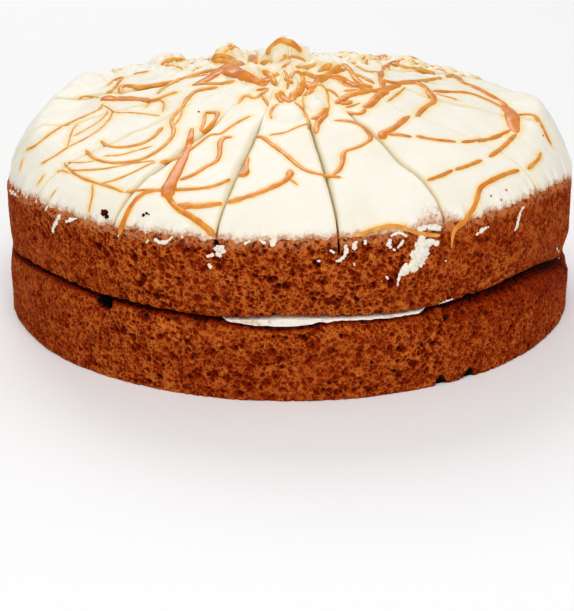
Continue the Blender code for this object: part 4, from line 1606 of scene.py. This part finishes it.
def makeLump(touch, size, seed, setting):
    # a ragged flat lump where something touches the cake
    spot, normal = touch
    x, y = 1000 * spot.x, 1000 * spot.y
    deselectAll()
    rounds = sum(size > least for least in lumpSizes)
    bpy.ops.mesh.primitive_ico_sphere_add(subdivisions=2 + rounds, radius=size / 2 * mm)
    lump = bpy.context.object
    turn = normal.to_track_quat("Z", "Y")
    for vertex in lump.data.vertices:
        large = noise.noise(vertex.co / setting["raggedSize"] + Vector((seed, x, y)))
        small = noise.noise(vertex.co / (0.4 * setting["raggedSize"]) + Vector((y, seed, x)))
        bent = vertex.co * (1 + setting["ragged"] * (large + 0.5 * small))
        bent.z = bent.z * setting["flatness"] - setting["sunk"] * mm
        vertex.co = spot + turn @ bent
    return lump


def makeSmears():
    draw = Random(8)
    lumps = []
    pixel = 1000 * onePixel * smear["distance"]
    for seed, corners in enumerate(smears):
        route = routeThrough([Vector(corner) for corner in corners], 0.5)
        due = 0
        for before, spot in zip(route, route[1:]):
            due -= (spot.xy - before.xy).length
            if due > 0:
                continue
            due = smear["spacing"] * spot.z / pixel
            away = smear["spread"] * spot.z * draw.uniform(-1, 1)
            size = spot.z * draw.uniform(*smear["sizes"])
            touch = firstTouch(sightLine(spot.x + away, spot.y + away * draw.uniform(-1, 1)))
            lumps.append(makeLump(touch, size, seed, smear))
            if size < smear["farSize"]:
                lumps.append(makeLump(farTouch(touch[0]), size, seed, smear))
    piece = joinPieces(lumps, "icingSmears")
    for name, value in (("cut", 0.0), ("stain", smear["stain"]), ("glaze", 0.0)):
        setValues(piece, name, [value] * len(piece.data.vertices))
    shadeRound(piece, 70)
    return piece


icingSmears = makeSmears()
dress(icingSmears, icingMaterial, "icing")


# crumbs: the place in the picture in pixels, the size in mm and how light they are
crumbs = (
    (104.5, 213, 2.6, 0.1), (107, 216.5, 1.8, 0.1), (143.5, 215.5, 1.5, 0.15), (146.5, 213.5, 1.2, 0.15),
    (149, 214.5, 0.8, 0.2), (491, 196, 0.9, 1.2), (501, 200, 1.1, 1.2), (506, 190, 1.0, 1.2),
    (543, 136, 0.8, 0.9), (437, 311, 3.4, 0.7), (439, 315, 2.8, 0.7), (199, 112, 0.9, 0.6),
)
crumble = {"flatness": 0.75, "sunk": -0.1, "ragged": 0.6, "raggedSize": 0.9 * mm, "coarse": 0.5}


def makeCrumbs():
    pieces, lights = [], []
    for seed, (x, y, size, light) in enumerate(crumbs):
        piece = makeLump(firstTouch(sightLine(x, y)), size, seed, crumble)
        pieces.append(piece)
        lights += [light] * len(piece.data.vertices)
    joined = joinPieces(pieces, "looseCrumbs")
    setValues(joined, "crumb", lights)
    for name, value in (("coarse", crumble["coarse"]), ("frost", 0.0)):
        setValues(joined, name, [value] * len(lights))
    shadeRound(joined, 60)
    return joined


looseCrumbs = makeCrumbs()
dress(looseCrumbs, crumbMaterial, "sponge")
print("smears and crumbs ready")


studio = {
    "floor": 9.0,
    "floorColour": (0.97, 0.97, 0.97),
    "world": 0.38,
    "aim": (0, 0, 0.05),
    "key": {"place": (0.10, -1.30, 2.70), "size": 1.6, "power": 39},
    "fill": {"place": (0.1, -1.3, 0.5), "size": 0.9, "power": 3.2},
    "back": {"place": (-0.4, 1.9, 1.9), "size": 1.4, "power": 23},
}


def addLight(name):
    setting = studio[name]
    bpy.ops.object.light_add(type="AREA", location=setting["place"])
    light = bpy.context.object
    light.name = name
    light.data.size = setting["size"]
    light.data.energy = setting["power"]
    aim = Vector(studio["aim"]) - Vector(setting["place"])
    light.rotation_euler = aim.to_track_quat("-Z", "Y").to_euler()


deselectAll()
bpy.ops.mesh.primitive_plane_add(size=studio["floor"])
floor = bpy.context.object
floor.name = "floor"
floorLook, floorTree, floorShader = newLook("pale floor")
floorShader.inputs["Base Color"].default_value = (*studio["floorColour"], 1)
floorShader.inputs["Roughness"].default_value = 0.8
floor.data.materials.append(floorLook)
for name in ("key", "fill", "back"):
    addLight(name)
world = bpy.data.worlds.new("studio")
world.use_nodes = True
world.node_tree.nodes["Background"].inputs["Color"].default_value = (1, 1, 1, 1)
world.node_tree.nodes["Background"].inputs["Strength"].default_value = studio["world"]
bpy.context.scene.world = world
print("studio ready")
